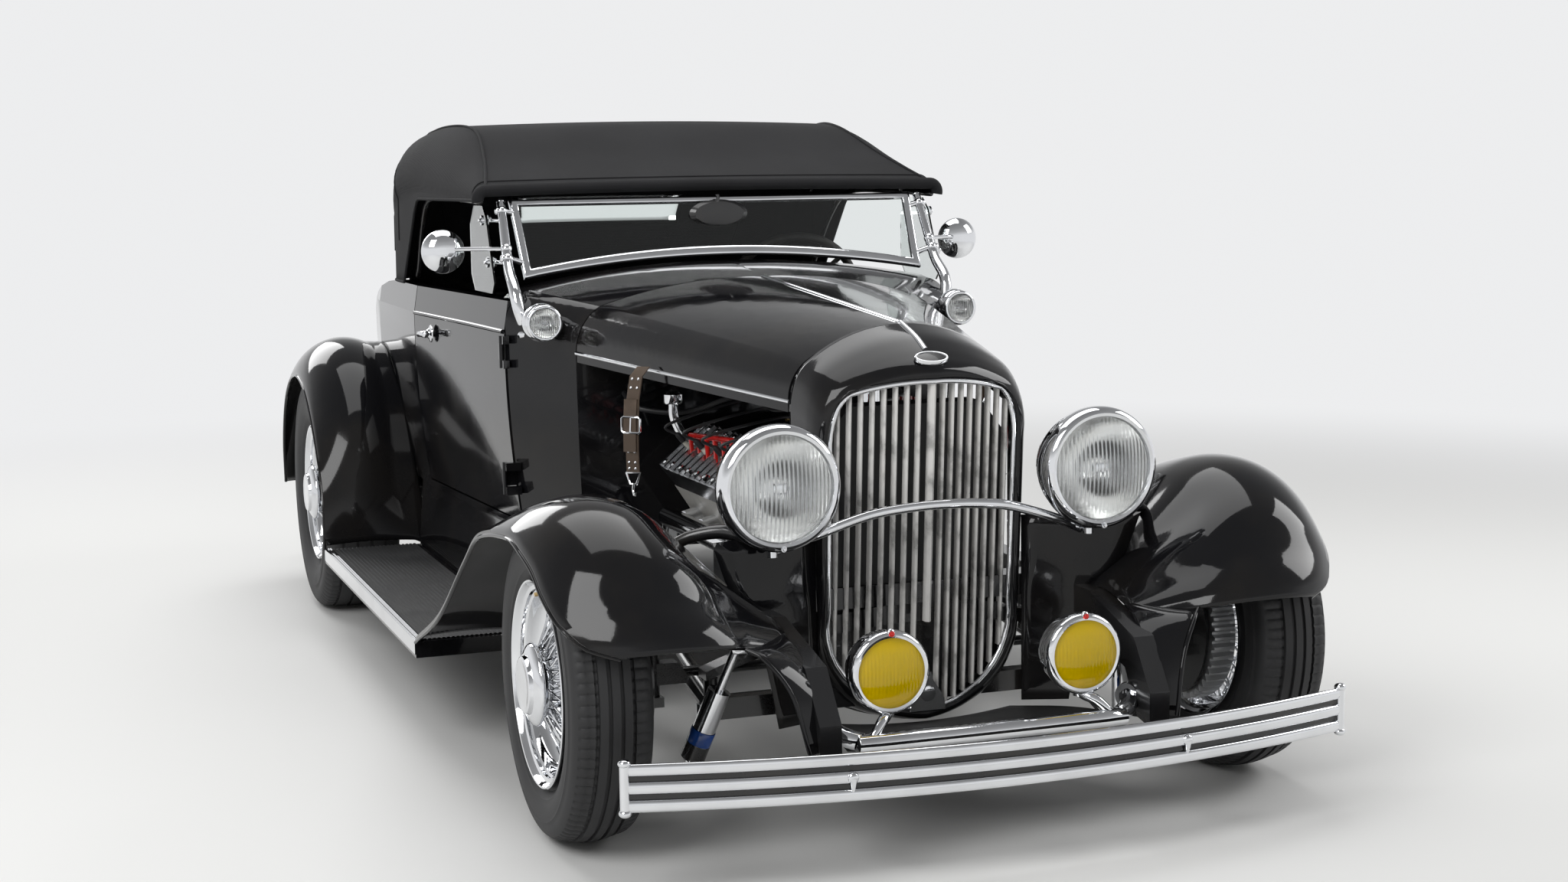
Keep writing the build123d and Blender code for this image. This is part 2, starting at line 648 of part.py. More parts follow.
def body_face(station, half_width, inset):
    """The closed face of the left half of the body at a station."""
    rim = cockpit_rim_height
    floor = body_bottom if inset == 0 else body_bottom - 60
    half = half_width - inset
    edges = [
        ThreePointArc((half - foot_tuck, floor), (half - foot_tuck * 0.2, 700), (half, belt_height)),
        Line((half, belt_height), (half - 12, rim + (1 if inset else 0))),
        Line((half - 12, rim + (1 if inset else 0)), (0, rim + (1 if inset else 0))),
        Line((0, rim + (1 if inset else 0)), (0, floor)),
        Line((0, floor), (half - foot_tuck, floor)),
    ]
    plane = Plane(origin=(0, at(station), 0), x_dir=(1, 0, 0), z_dir=(0, -1, 0))
    return plane * make_face(edges)


def body_form(inset):
    """The body's left half as a full form, set in by an amount."""
    rows = list(body_stations)
    if inset:
        rows[-1] = (body_rear_station - inset, rows[-1][1] + inset * 2)
        rows[0] = (rows[0][0] - 1, rows[0][1])
    form = loft([body_face(station, half_width, inset) for station, half_width in rows], ruled=True)
    deck = [(s - inset * 0.5, z - inset * 0.8) for s, z in deck_line[:-1]]
    outline = [(1000, 300), (1000, cockpit_rim_height + 2 * (inset > 0)), (cockpit_rear_station, cockpit_rim_height
               + 2 * (inset > 0))] + deck + [(body_rear_station - inset, body_bottom), (body_rear_station, 300)]
    return form & side_extrude(outline, (-1, 900))


body_outer = body_form(0)
body_inner = body_form(body_wall)
body_half = body_outer - body_inner
door_cut = (door_front_station, door_rear_station - shut_gap)
door_floor = 470
door = body_half & block((400, 900), door_cut, (door_floor, 1100))
for hinge_z, leaf_depth in door_hinges:
    low, high = hinge_z - hinge_half, hinge_z + hinge_half
    door += rod(point(door_hinge_x, door_hinge_station, low), point(door_hinge_x, door_hinge_station, high),
                knuckle_radius)
    door += block((door_hinge_x - leaf_depth, door_hinge_x + 2),
                  (door_hinge_station + shut_gap, door_hinge_station + hinge_leaf), (low, high))
    door += block((door_hinge_x - 3, door_hinge_x + 2),
                  (door_hinge_station, door_hinge_station + shut_gap + 1), (low, high))
handle_station = 1832
handle_z = 898
door += rod(point(640, handle_station, handle_z), point(672, handle_station, handle_z), 9)
door += rod(point(672, handle_station - 30, handle_z), point(672, handle_station + 66, handle_z - 4), 8)
save("left_door", door)
save("right_door", mirrored(door))

rear_half = body_half - block((-10, 900), (1000, door_rear_station), (0, 1200))
sill = block((400, 900), (door_front_station, door_rear_station + 20), (body_bottom, door_floor - shut_gap))
rear_half += body_half & sill
deck_cover = body_outer & side_extrude(
    [(cockpit_rear_station, 1030), (cockpit_rear_station, 985), (2560, 980)]
    + [(s - 16, z - 26) for s, z in deck_line[1:-1]] + [(3450, body_bottom), (3450, 1100)], (-1, 900)
)
rear_half += deck_cover
lid_stations = (2700, 3200)
lid_half_width = 360
lid_cut = block((-10, lid_half_width), lid_stations, (0, 1200))
lid = deck_cover & block((-10, lid_half_width - shut_gap),
                         (lid_stations[0] + shut_gap, lid_stations[1] - shut_gap), (0, 1200))
rear_half -= lid_cut & side_extrude([(2400, 1100), (2400, 700), (3300, 500), (3450, 1100)], (-1, 900))
lid_hinge_z = 995.8
lid_hinge_station = lid_stations[0] + shut_gap / 2
lid_hinge_x = 250
lid_hinge_half = 15
lid += rod(point(lid_hinge_x - lid_hinge_half, lid_hinge_station, lid_hinge_z),
           point(lid_hinge_x + lid_hinge_half, lid_hinge_station, lid_hinge_z), 5)
lid += block((lid_hinge_x - lid_hinge_half, lid_hinge_x + lid_hinge_half),
             (lid_hinge_station + 3, lid_hinge_station + 34), (978, lid_hinge_z - 4))
lid += block((lid_hinge_x - lid_hinge_half, lid_hinge_x + lid_hinge_half),
             (lid_hinge_station, lid_hinge_station + 4), (lid_hinge_z - 4, lid_hinge_z))
for low, high in ((lid_hinge_x - 3 * lid_hinge_half, lid_hinge_x - lid_hinge_half - seat_gap),
                  (lid_hinge_x + lid_hinge_half + seat_gap, lid_hinge_x + 3 * lid_hinge_half)):
    rear_half += rod(point(low, lid_hinge_station, lid_hinge_z), point(high, lid_hinge_station, lid_hinge_z), 5)
    rear_half += block((low, high), (lid_hinge_station - 34, lid_hinge_station - 3), (985, lid_hinge_z + 2))
    rear_half += block((low, high), (lid_hinge_station - 4, lid_hinge_station), (lid_hinge_z - 2, lid_hinge_z + 2))
rear_half = split_side(rear_half, True)
lid = split_side(lid, True)
save("rear_body", rear_half + mirrored(rear_half))
save("deck_lid", lid + mirrored(lid))

# Floor and seat

floor_plan = [
    # x, station
    (427, cowl_front_station + firewall + seat_gap), (499, door_front_station - shut_gap), (526, door_front_station),
    (575, door_rear_station), (568, 2440),
]
floor_half = plan_extrude([(0, floor_plan[0][1])] + floor_plan + [(0, floor_plan[-1][1])],
                          (frame_top + seat_gap, frame_top + 13))
floor = floor_half + mirrored(floor_half)
save("floor", floor)

seat_floor = frame_top + 13 + seat_gap
seat_cushion = block((-530, 530), (1860, 2290), (seat_floor, 690))
seat_back = side_extrude([(2295, seat_floor), (2420, seat_floor), (2432, 975), (2362, 975)], (-530, 530))
save("seat_cushion", fillet(seat_cushion.edges().filter_by(Axis.X), 30))
save("seat_back", seat_back)

# Steering column and wheel

wheel_centre = point(330, 1640, 960)
column_slope = 254 / 630
column_radius = 20
column_run = Vector(0, 1, column_slope).normalized()
foot_station = cowl_front_station + firewall + seat_gap + column_radius * column_run.Z
column_foot = wheel_centre - column_run * ((wheel_centre.Y - at(foot_station)) / column_run.Y)
column_end = wheel_centre - column_run * 40
save("steering_column", rod(column_foot, column_end, column_radius))
rim_plane = Plane(origin=wheel_centre, z_dir=column_run)
steering_rim = rim_plane * Torus(200, 12)
steering_hub = rod(column_end + column_run * seat_gap, wheel_centre + column_run * 12, 36)
steering_wheel = steering_rim + steering_hub
for number in range(4):
    spoke_direction = rim_plane.x_dir.rotate(Axis((0, 0, 0), tuple(column_run)), 45 + 90 * number)
    steering_wheel += rod(wheel_centre, wheel_centre + spoke_direction * 198, 7)
save("steering_wheel", steering_wheel)

# Windshield: frame, glass and posts

windshield_low = (1189, 1070)
windshield_top = (1293, 1264)
windshield_half_low = 536
windshield_half_top = 548
windshield_band = 16
lean_run = Vector(0, windshield_top[0] - windshield_low[0], windshield_top[1] - windshield_low[1])
windshield_plane = Plane(origin=point(0, *windshield_low), x_dir=(1, 0, 0), z_dir=(0, -lean_run.Z, lean_run.Y))
windshield_height = lean_run.length


def pane(inset, thickness):
    """A windshield outline set in by an amount, with its arched foot, made solid."""
    low, top = inset, windshield_height - inset
    half_low, half_top = windshield_half_low - inset, windshield_half_top - inset
    edges = [
        ThreePointArc((-half_low, low), (0, low + 52), (half_low, low)),
        Line((half_low, low), (half_top, top)),
        Line((half_top, top), (-half_top, top)),
        Line((-half_top, top), (-half_low, low)),
    ]
    face = windshield_plane * make_face(edges)
    return extrude(face, amount=thickness / 2, both=True)


save("windshield_frame", pane(0, 16) - pane(windshield_band, 30))
save("windshield_glass", pane(windshield_band + seat_gap, glass))

post_low = point(552, 1106, 952)
post_neck = point(577, 1118, 1040)
post_elbow = point(577, 1184, 1096)
post_top = point(569, 1284, 1254)
post_radius = 11
post = rod(post_low, post_neck, 15) + Pos(*post_neck) * Sphere(15) + rod(post_neck, post_elbow, 12)
post += Pos(*post_elbow) * Sphere(12) + rod(post_elbow, post_top, post_radius)
post -= Pos(seat_gap, 0, 0) * cowl_outer
for share in (0.1, 0.9):
    spot = post_elbow + (post_top - post_elbow) * share
    frame_side = windshield_half_low + (windshield_half_top - windshield_half_low) * (0.12 + 0.8 * share)
    post += rod(spot, Vector(frame_side + seat_gap, spot.Y + 3, spot.Z - 2), 7)
clamp_z = (1112, 1216)
clamp_station = (1252, 1304)
wing_x = 603
for spot_station, spot_z in zip(clamp_station, clamp_z):
    share = (spot_z - post_elbow.Z) / (post_top.Z - post_elbow.Z)
    spot = post_elbow + (post_top - post_elbow) * share
    post += rod(spot, point(wing_x - 14, spot_station, spot_z), 5)
    post += rod(point(wing_x - 15, spot_station, spot_z), point(wing_x - seat_gap, spot_station, spot_z), 9)
post -= pane(-seat_gap, 16 + 2 * seat_gap)
post = max(post.solids(), key=lambda piece: piece.volume)
mirror_centre = point(710, 1330, 1139)
mirror_root = post_elbow + (post_top - post_elbow) * 0.3
post += rod(mirror_root, mirror_centre, 5)
mirror_plane = Plane(origin=mirror_centre, z_dir=(0, -1, 0))
post += extrude(mirror_plane * Circle(52), amount=10, both=True)
save("windshield_posts", post, mirrored(post))

wing_outline = [(1215, 1060), (1292, 1222), (1330, 1252), (1430, 1252), (1478, 1205), (1478, 1075), (1440, 1034),
                (1240, 1034)]
wing = side_extrude(wing_outline, (wing_x, wing_x + glass))
save("wind_wings", wing, mirrored(wing))

# Soft top

top_columns = ("station", "side_x", "side_z", "corner_x", "corner_z", "roof_x", "roof_z", "crown")
top_rows = [
    (1288, 628, 1268, 622, 1290, 606, 1296, 1303),
    (1500, 636, 1274, 616, 1338, 560, 1368, 1377),
    (1738, 646, 1280, 618, 1390, 530, 1447, 1462),
    (2090, 646, 1280, 618, 1392, 530, 1450, 1466),
    (2250, 646, 1262, 616, 1366, 526, 1418, 1432),
    (2370, 640, 1218, 604, 1305, 510, 1342, 1352),
    (2440, 624, 1150, 584, 1216, 486, 1240, 1246),
    (2495, 598, 1078, 556, 1116, 460, 1126, 1130),
    (2530, 570, 1036, 530, 1042, 440, 1044, 1046),
]


def top_face(row, inset):
    """One closed section of the soft top's left half, set in by an amount."""
    section = dict(zip(top_columns, row))
    low = 900 - 20 * (inset > 0)
    side = (section["side_x"] - inset, section["side_z"])
    corner = (section["corner_x"] - inset * 0.9, section["corner_z"] - inset * 0.4)
    roof = (section["roof_x"] - inset * 0.4, section["roof_z"] - inset * 0.9)
    crown = (0, section["crown"] - inset)
    half_way = (roof[0] / 2, crown[1] - (crown[1] - roof[1]) * 0.25)
    edges = [
        Line((side[0], low), side),
        ThreePointArc(side, corner, roof),
        ThreePointArc(roof, half_way, crown),
        Line(crown, (0, low)),
        Line((0, low), (side[0], low)),
    ]
    station = section["station"]
    if inset and row == top_rows[0]:
        station -= 1
    if row == top_rows[-1]:
        station -= inset
    plane = Plane(origin=(0, at(station), 0), x_dir=(1, 0, 0), z_dir=(0, -1, 0))
    return plane * make_face(edges)


def top_form(inset):
    """The soft top's left half as a full form, set in by an amount."""
    return loft([top_face(row, inset) for row in top_rows], ruled=True)


top_half = top_form(0) - top_form(fabric)
top_half &= block((-10, 900), (1200, 2600), (cockpit_rim_height + seat_gap, 1600))
rear_window = [(-260, 1150), (-240, 1130), (240, 1130), (260, 1150), (250, 1260), (230, 1280), (-230, 1280),
               (-250, 1260)]
top_half -= front_extrude(rear_window, (2250, 2600))
side_opening = side_extrude([(1200, 900), (1200, header_height - 6), (1975, 1268), (2025, 1212), (2205, 1010),
                             (2205, 900)], (560, 900))
top_half -= side_opening
top_half -= side_extrude([(1200, 900), (1200, header_height), (1300, header_height), (1300, 900)], (-1, 900))
top_half = split_side(top_half, True)
save("soft_top", top_half + mirrored(top_half))

# Fenders: lofts through leaning sections

# Each section lies in a plane through (station, height) whose upward line leans forward by the angle given.
# It holds the lip, the crown and the inner turn joined by an arc, then a straight apron down to the foot.
fender_columns = ("station", "z", "lean", "lip_x", "lip", "crown_x", "crown", "inner_x", "inner", "foot_x", "foot")
front_sections = [
    (-37, 325, 66.5, 800, 327, 640, 374, 489, 318, 372, 235),
    (-37, 325, 55, 836, 298, 690, 356, 510, 292, 372, 200),
    (-37, 325, 40, 853, 284, 694, 367, 540, 304, 372, 160),
    (-37, 325, 25, 858, 287, 697, 370, 575, 314, 372, 128),
    (-37, 325, 10, 864, 292, 700, 372, 590, 326, 372, 118),
    (-37, 325, -5, 866, 304, 702, 373, 598, 332, 376, 119),
    (-37, 325, -20, 869, 318, 706, 378, 600, 342, 384, 126),
    (-37, 325, -35, 872, 350, 712, 398, 590, 366, 392, 146),
    (-37, 325, -50, 876, 402, 720, 433, 552, 392, 420, 190),
    (-37, 325, -64, 882, 446, 728, 474, 540, 398, 470, 270),
    (585, 0, 0, 896, 366, 745, 394, 620, 374, 560, 330),
    (833, 0, 0, 905, 262, 765, 270, 624, 258, 612, 246),
]
rear_sections = [
    (2228, 0, 0, 905, 262, 790, 268, 640, 262, 560, 240),
    (2700, 365, 84, 900, 442, 790, 452, 690, 430, 560, 420),
    (2700, 365, 66, 902, 406, 795, 450, 690, 430, 560, 410),
    (2700, 365, 48, 902, 378, 800, 454, 690, 440, 560, 420),
    (2700, 365, 30, 902, 368, 802, 459, 690, 448, 560, 434),
    (2700, 365, 12, 902, 367, 802, 463, 690, 455, 560, 446),
    (2700, 365, -6, 902, 369, 802, 464, 690, 456, 560, 447),
    (2700, 365, -24, 902, 376, 802, 466, 690, 455, 560, 442),
    (2700, 365, -42, 902, 388, 802, 470, 690, 456, 540, 436),
    (2700, 365, -60, 900, 408, 800, 478, 690, 462, 520, 436),
    (2700, 365, -78, 896, 440, 795, 500, 690, 484, 500, 452),
    (2700, 365, -94, 888, 490, 790, 540, 690, 524, 480, 490),
]
lip_depth = 12


def circle_centre(a, b, c):
    """Centre of the circle through three points."""
    d = 2 * (a[0] * (b[1] - c[1]) + b[0] * (c[1] - a[1]) + c[0] * (a[1] - b[1]))
    sq = [p[0] ** 2 + p[1] ** 2 for p in (a, b, c)]
    x = (sq[0] * (b[1] - c[1]) + sq[1] * (c[1] - a[1]) + sq[2] * (a[1] - b[1])) / d
    z = (sq[0] * (c[0] - b[0]) + sq[1] * (a[0] - c[0]) + sq[2] * (b[0] - a[0])) / d
    return x, z


def fender_face(row, inset):
    """One closed section under the fender's skin, set in by an amount."""
    section = dict(zip(fender_columns, row))
    lip = (section["lip_x"], section["lip"])
    crown = (section["crown_x"], section["crown"])
    inner = (section["inner_x"], section["inner"])
    foot = (section["foot_x"], section["foot"])
    centre = circle_centre(lip, crown, inner)

    def inward(spot):
        away = sqrt((spot[0] - centre[0]) ** 2 + (spot[1] - centre[1]) ** 2)
        share = (away - inset) / away
        return (centre[0] + (spot[0] - centre[0]) * share, centre[1] + (spot[1] - centre[1]) * share)

    start, middle, end = inward(lip), inward(crown), inward(inner)
    reach = lip_depth + 2 * inset
    low_lip = (start[0], lip[1] - reach)
    low_foot = (foot[0] + 0.5 * inset, foot[1] - 1.2 * inset)
    base = (foot[0] + 0.5 * inset, min(foot[1], lip[1]) - reach - 20)
    edges = [
        Line(low_lip, start),
        ThreePointArc(start, middle, end),
        Line(end, low_foot),
        Line(low_foot, base),
        Line(base, low_lip),
    ]
    lean = radians(section["lean"])
    plane = Plane(origin=(0, at(section["station"]), section["z"]), x_dir=(1, 0, 0),
                  z_dir=(0, -cos(lean), -sin(lean)))
    return plane * make_face(edges)


def fender_form(rows, inset):
    """A closed loft through every section."""
    return loft([fender_face(row, inset) for row in rows], ruled=True)


front_fender_form = fender_form(front_sections, 0)
front_fender = front_fender_form - fender_form(front_sections, panel)
front_fender -= rail_seat
front_fender = max(front_fender.solids(), key=lambda piece: piece.volume)
save("front_fenders", front_fender, mirrored(front_fender))

rear_fender = fender_form(rear_sections, 0) - fender_form(rear_sections, panel)
rear_fender -= Pos(seat_gap, 0, 0) * body_outer
rear_fender &= block((body_half_width - 60, 1000), (2000, 3400), (0, 1200))
rear_fender = max(rear_fender.solids(), key=lambda piece: piece.volume)
save("rear_fenders", rear_fender, mirrored(rear_fender))

# Running boards

board_inner = 628
board_stations = (833 + seat_gap, 2228 - seat_gap)
board = block((board_inner, fender_half_width), board_stations, (running_board_height - 38, running_board_height))
apron_rows = [
    # station, top edge
    (board_stations[0], 472), (door_front_station, 562), (1300, 582), (door_rear_station, 614), (board_stations[1], 612),
]
apron_sheet = 5


def apron_face(station, top_x):
    """A thin leaning section from the body's foot down to the running board."""
    low_x = board_inner - seat_gap
    top_z = body_bottom - seat_gap
    low_z = running_board_height - 20
    corners = [(top_x, top_z), (low_x, low_z), (low_x - apron_sheet, low_z), (top_x - apron_sheet, top_z)]
    plane = Plane(origin=(0, at(station), 0), x_dir=(1, 0, 0), z_dir=(0, -1, 0))
    return plane * polygon(*corners)


apron = loft([apron_face(*row) for row in apron_rows], ruled=True)
save("splash_aprons", apron, mirrored(apron))
save("running_boards", board, mirrored(board))

# Lamps

headlight_centre = point(355, -168, 707)
headlight_radius = 124
headlight_depth = 190


def bowl_edges(radius, depth, front_lip, start):
    """Half outline of a round-backed bowl: rim, then an arc that meets the axis squarely."""
    centre = (depth**2 - front_lip**2 - radius**2) / (2 * (depth - front_lip))
    back = depth - centre
    turn = atan2(radius, front_lip - centre)
    middle = (centre + back * cos(turn / 2), back * sin(turn / 2))
    return [
        Line((start, 0), (start, radius)),
        Line((start, radius), (front_lip, radius)),
        ThreePointArc((front_lip, radius), middle, (depth, 0)),
        Line((depth, 0), (start, 0)),
    ]


def lamp(centre, radius, depth, front_lip):
    """A bowl with its rim towards the front, hollow behind the lens."""
    plane = Plane(origin=centre, x_dir=(0, 1, 0), z_dir=(1, 0, 0))
    axis = Axis(centre, (0, 1, 0))
    outer = revolve(plane * make_face(bowl_edges(radius, depth, front_lip, 0)), axis=axis)
    inner = revolve(plane * make_face(bowl_edges(radius * 0.9, depth * 0.93, front_lip, -1)), axis=axis)
    return outer - inner


headlight = lamp(headlight_centre, headlight_radius, headlight_depth, 26)
stand_foot = point(355, -92, 565)
stand_top = point(355, -92, 605)
stand_end = point(556, -34, 594)
headlight += rod(stand_foot, stand_top, 13) + Pos(*stand_foot) * Sphere(13)
headlight += rod(stand_foot, stand_end, 12) + rod(stand_foot + (stand_end - stand_foot) * 0.82, stand_end, 22)
headlight -= Pos(0, 0, seat_gap) * front_fender_form
headlight = max(headlight.solids(), key=lambda piece: piece.volume)
bar_radius = 10
bar_points = [point(345, -92, 570), point(262, -128, 604), point(160, -140, 636), point(0, -146, 650),
              point(-160, -140, 636), point(-262, -128, 604), point(-345, -92, 570)]
headlight_bar = bent_rod(bar_points, bar_radius, 90)
headlights = headlight + mirrored(headlight) + headlight_bar
save("headlights", headlights)
lens = rod(headlight_centre + Vector(0, 3, 0), headlight_centre + Vector(0, 9, 0),
           headlight_radius * 0.9 - seat_gap)
save("headlight_lenses", lens, mirrored(lens))

fog_centre = point(209, -371, 366)
fog_radius = 80
fog = lamp(fog_centre, fog_radius, 95, 22)
spreader_centre = (-395, 292)
spreader_radius = 19
fog += rod(fog_centre + Vector(0, 30, -66), point(214, -352, 266), 10) + Pos(*point(214, -352, 266)) * Sphere(10)
fog += rod(point(214, -352, 266), point(232, *spreader_centre), 10)
fog -= rod(point(0, *spreader_centre), point(400, *spreader_centre), spreader_radius + seat_gap)
fog = max(fog.solids(), key=lambda piece: piece.volume)
save("fog_lights", fog, mirrored(fog))
fog_lens = rod(fog_centre + Vector(0, 3, 0), fog_centre + Vector(0, 8, 0), fog_radius * 0.9 - seat_gap)
save("fog_lenses", fog_lens, mirrored(fog_lens))

cowl_light_centre = point(546, 955, 974)
cowl_light = lamp(cowl_light_centre, 43, 80, 12)
cowl_light += rod(cowl_light_centre + Vector(0, 40, 0), point(500, 1010, 974), 9)
cowl_light -= Pos(seat_gap, 0, 0) * cowl_outer
save("cowl_lights", cowl_light, mirrored(cowl_light))

# Bumpers, their irons and the spreader bar

bumper_radius = 2634
bumper_half_length = 770
bumper_height = 92
bumper_z = 214
bumper_thickness = 14
bumper_ribs = 3
rib_depth = 5


def bumper(face_station, direction):
    """A ribbed bar curved in plan, its middle furthest from the car."""
    middle_y = at(face_station - direction * bumper_radius)
    low = bumper_z - bumper_height / 2
    pitch = bumper_height / bumper_ribs
    back, root = bumper_radius - bumper_thickness, bumper_radius - rib_depth
    edges = [Line((back, low), (root, low))]
    for number in range(bumper_ribs):
        start = low + pitch * number
        edges.append(ThreePointArc((root, start), (bumper_radius, start + pitch / 2), (root, start + pitch)))
    edges.append(Line((root, low + bumper_height), (back, low + bumper_height)))
    edges.append(Line((back, low + bumper_height), (back, low)))
    plane = Plane(origin=(0, middle_y, 0), x_dir=(1, 0, 0), z_dir=(0, -1, 0))
    ring = revolve(plane * make_face(edges), axis=Axis((0, middle_y, 0), (0, 0, 1)))
    stations = sorted((face_station, face_station - direction * 200))
    return ring & block((-bumper_half_length, bumper_half_length), stations, (0, 500))


save("front_bumper", bumper(-front_overhang, -1))
save("rear_bumper", bumper(wheelbase + rear_overhang, 1))

iron_x = (331, 374)


def bumper_back(face_station, direction, x):
    """Station of the bumper's inner face at a side position."""
    return face_station - direction * (bumper_radius - sqrt((bumper_radius - bumper_thickness) ** 2 - x**2))


iron_front = bumper_back(-front_overhang, -1, iron_x[1]) + seat_gap
iron = block(iron_x, (iron_front, -420 - seat_gap), (bumper_z - 12, bumper_z + 12))
rear_iron_x = (426, 469)
rear_iron_end = bumper_back(wheelbase + rear_overhang, 1, rear_iron_x[1]) - seat_gap
rear_iron = block(rear_iron_x, (3480 + seat_gap, 3530), (380, 420))
rear_iron += block(rear_iron_x, (3500, rear_iron_end), (bumper_z - 20, bumper_z + 10))
rear_iron += block(rear_iron_x, (3500, 3530), (bumper_z - 20, 420))
save("bumper_irons", iron, mirrored(iron), rear_iron, mirrored(rear_iron))
save("spreader_bar", rod(point(-330 + seat_gap, *spreader_centre), point(330 - seat_gap, *spreader_centre),
                         spreader_radius))

# Fuel tank, exhausts and tail lights

tank_stations = (3095, 3405)
tank_halves = [rail_plan[-1][0] - rail_width + (rail_plan[-1][1] - s) * 0.04 - seat_gap for s in tank_stations]
tank = plan_extrude([(tank_halves[0], tank_stations[0]), (tank_halves[1], tank_stations[1]),
                     (-tank_halves[1], tank_stations[1]), (-tank_halves[0], tank_stations[0])], (275, 398))
save("fuel_tank", tank)

exhaust_ports = (270, 400, 560, 690)
exhaust = rod(point(312, 260, 520), point(312, 740, 520), 24)
exhaust += rod(point(312, 720, 520), point(260, 900, 290), 22) + rod(point(260, 890, 290), point(260, 3560, 236), 22)
for port_station in exhaust_ports:
    exhaust += rod(point(312, port_station, 520), point(200, port_station, 545), 15)
exhaust -= Pos(seat_gap, 0, 0) * engine
exhaust = max(exhaust.solids(), key=lambda piece: piece.volume)
save("exhausts", exhaust, mirrored(exhaust))
light_x = 447
light_z = 548
tail_light = rod(point(light_x, 3462, frame_top + seat_gap), point(light_x, 3462, light_z), 8)
tail_light += rod(point(light_x, 3430, light_z), point(light_x, 3496, light_z), 38)
save("tail_lights", tail_light, mirrored(tail_light))
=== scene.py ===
import math

import bmesh
import bpy
from mathutils import Matrix, Vector


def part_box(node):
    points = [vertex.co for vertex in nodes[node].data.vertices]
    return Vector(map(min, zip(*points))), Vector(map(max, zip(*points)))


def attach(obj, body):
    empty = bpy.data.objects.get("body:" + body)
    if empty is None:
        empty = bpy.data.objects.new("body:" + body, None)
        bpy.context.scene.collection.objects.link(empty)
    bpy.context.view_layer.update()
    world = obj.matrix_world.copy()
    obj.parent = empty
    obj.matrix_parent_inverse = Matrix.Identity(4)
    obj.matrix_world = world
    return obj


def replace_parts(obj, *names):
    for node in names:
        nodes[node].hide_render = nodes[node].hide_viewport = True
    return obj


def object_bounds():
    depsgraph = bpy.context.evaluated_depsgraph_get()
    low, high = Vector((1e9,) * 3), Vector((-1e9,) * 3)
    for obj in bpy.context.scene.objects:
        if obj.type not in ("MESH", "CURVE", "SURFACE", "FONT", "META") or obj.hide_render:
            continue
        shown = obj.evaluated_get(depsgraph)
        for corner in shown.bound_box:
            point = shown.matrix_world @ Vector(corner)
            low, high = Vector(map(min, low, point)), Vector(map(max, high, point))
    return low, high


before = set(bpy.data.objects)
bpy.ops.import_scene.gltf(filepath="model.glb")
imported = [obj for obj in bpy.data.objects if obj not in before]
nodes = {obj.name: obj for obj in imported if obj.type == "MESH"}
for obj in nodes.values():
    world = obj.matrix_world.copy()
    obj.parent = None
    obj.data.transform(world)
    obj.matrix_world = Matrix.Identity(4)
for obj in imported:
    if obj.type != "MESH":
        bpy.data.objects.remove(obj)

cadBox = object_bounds()
print("frame loaded:", len(nodes), "nodes")

# Places and shapes


def middle(node):
    low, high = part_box(node)
    return (low + high) / 2


frontAxle = middle("front_left_tyre")
leftRight, sides = (("left", 1), ("right", -1)), (1, -1)
forward, backward, upward = Vector((0, -1, 0)), Vector((0, 1, 0)), Vector((0, 0, 1))


def spot(x, station, z):
    # station is the distance behind the front axle, in metres
    return Vector((x, frontAxle.y + station, z))


def onSide(points, side=1):
    # the table's points are (x, station, z) on the car's left
    return [spot(x * side, station, z) for x, station, z in points]


def pointOn(point, side):
    return onSide([point], side)[0]


def acrossFrom(point):
    # the same point on the other side of the car
    return Vector((-point.x, point.y, point.z))


def facing(centre, direction):
    # a place whose Z axis points along direction
    turn = Vector(direction).to_track_quat("Z", "Y")
    return Matrix.Translation(centre) @ turn.to_matrix().to_4x4()


def arc(start, mid, end, steps):
    # points on the circle through three flat points, end left out
    ax, ay = start
    bx, by = mid
    cx, cy = end
    d = 2 * (ax * (by - cy) + bx * (cy - ay) + cx * (ay - by))
    a2, b2, c2 = ax * ax + ay * ay, bx * bx + by * by, cx * cx + cy * cy
    ux = (a2 * (by - cy) + b2 * (cy - ay) + c2 * (ay - by)) / d
    uy = (a2 * (cx - bx) + b2 * (ax - cx) + c2 * (bx - ax)) / d
    first = math.atan2(ay - uy, ax - ux)
    through = (math.atan2(by - uy, bx - ux) - first) % math.tau
    last = (math.atan2(cy - uy, cx - ux) - first) % math.tau
    if through > last:
        last -= math.tau
    reach = math.hypot(ax - ux, ay - uy)
    turns = [first + last * step / steps for step in range(steps)]
    return [(ux + reach * math.cos(turn), uy + reach * math.sin(turn)) for turn in turns]


def straight(start, end, steps):
    # points along a line between two flat points, end left out
    (ax, ay), (bx, by) = start, end
    return [(ax + (bx - ax) * step / steps, ay + (by - ay) * step / steps) for step in range(steps)]


def smoothPath(points, steps=8):
    # a curve through the points
    points = [Vector(point) for point in points]
    if len(points) == 2 or steps == 1:
        return points
    ends = [points[0] * 2 - points[1], *points, points[-1] * 2 - points[-2]]
    path = []
    for a, b, c, d in zip(ends, ends[1:], ends[2:], ends[3:]):
        for step in range(steps):
            t = step / steps
            bend = (2 * a - 5 * b + 4 * c - d) * t * t + (3 * b - a - 3 * c + d) * t * t * t
            path.append((2 * b + (c - a) * t + bend) / 2)
    return path + [points[-1]]


def roundedOutline(width, height, radius, steps=6):
    corners = [(1, 1, 0), (-1, 1, 90), (-1, -1, 180), (1, -1, 270)]
    outline = []
    for x, y, start in corners:
        for step in range(steps + 1):
            angle = math.radians(start + 90 * step / steps)
            outline.append((x * (width / 2 - radius) + radius * math.cos(angle),
                            y * (height / 2 - radius) + radius * math.sin(angle)))
    return outline


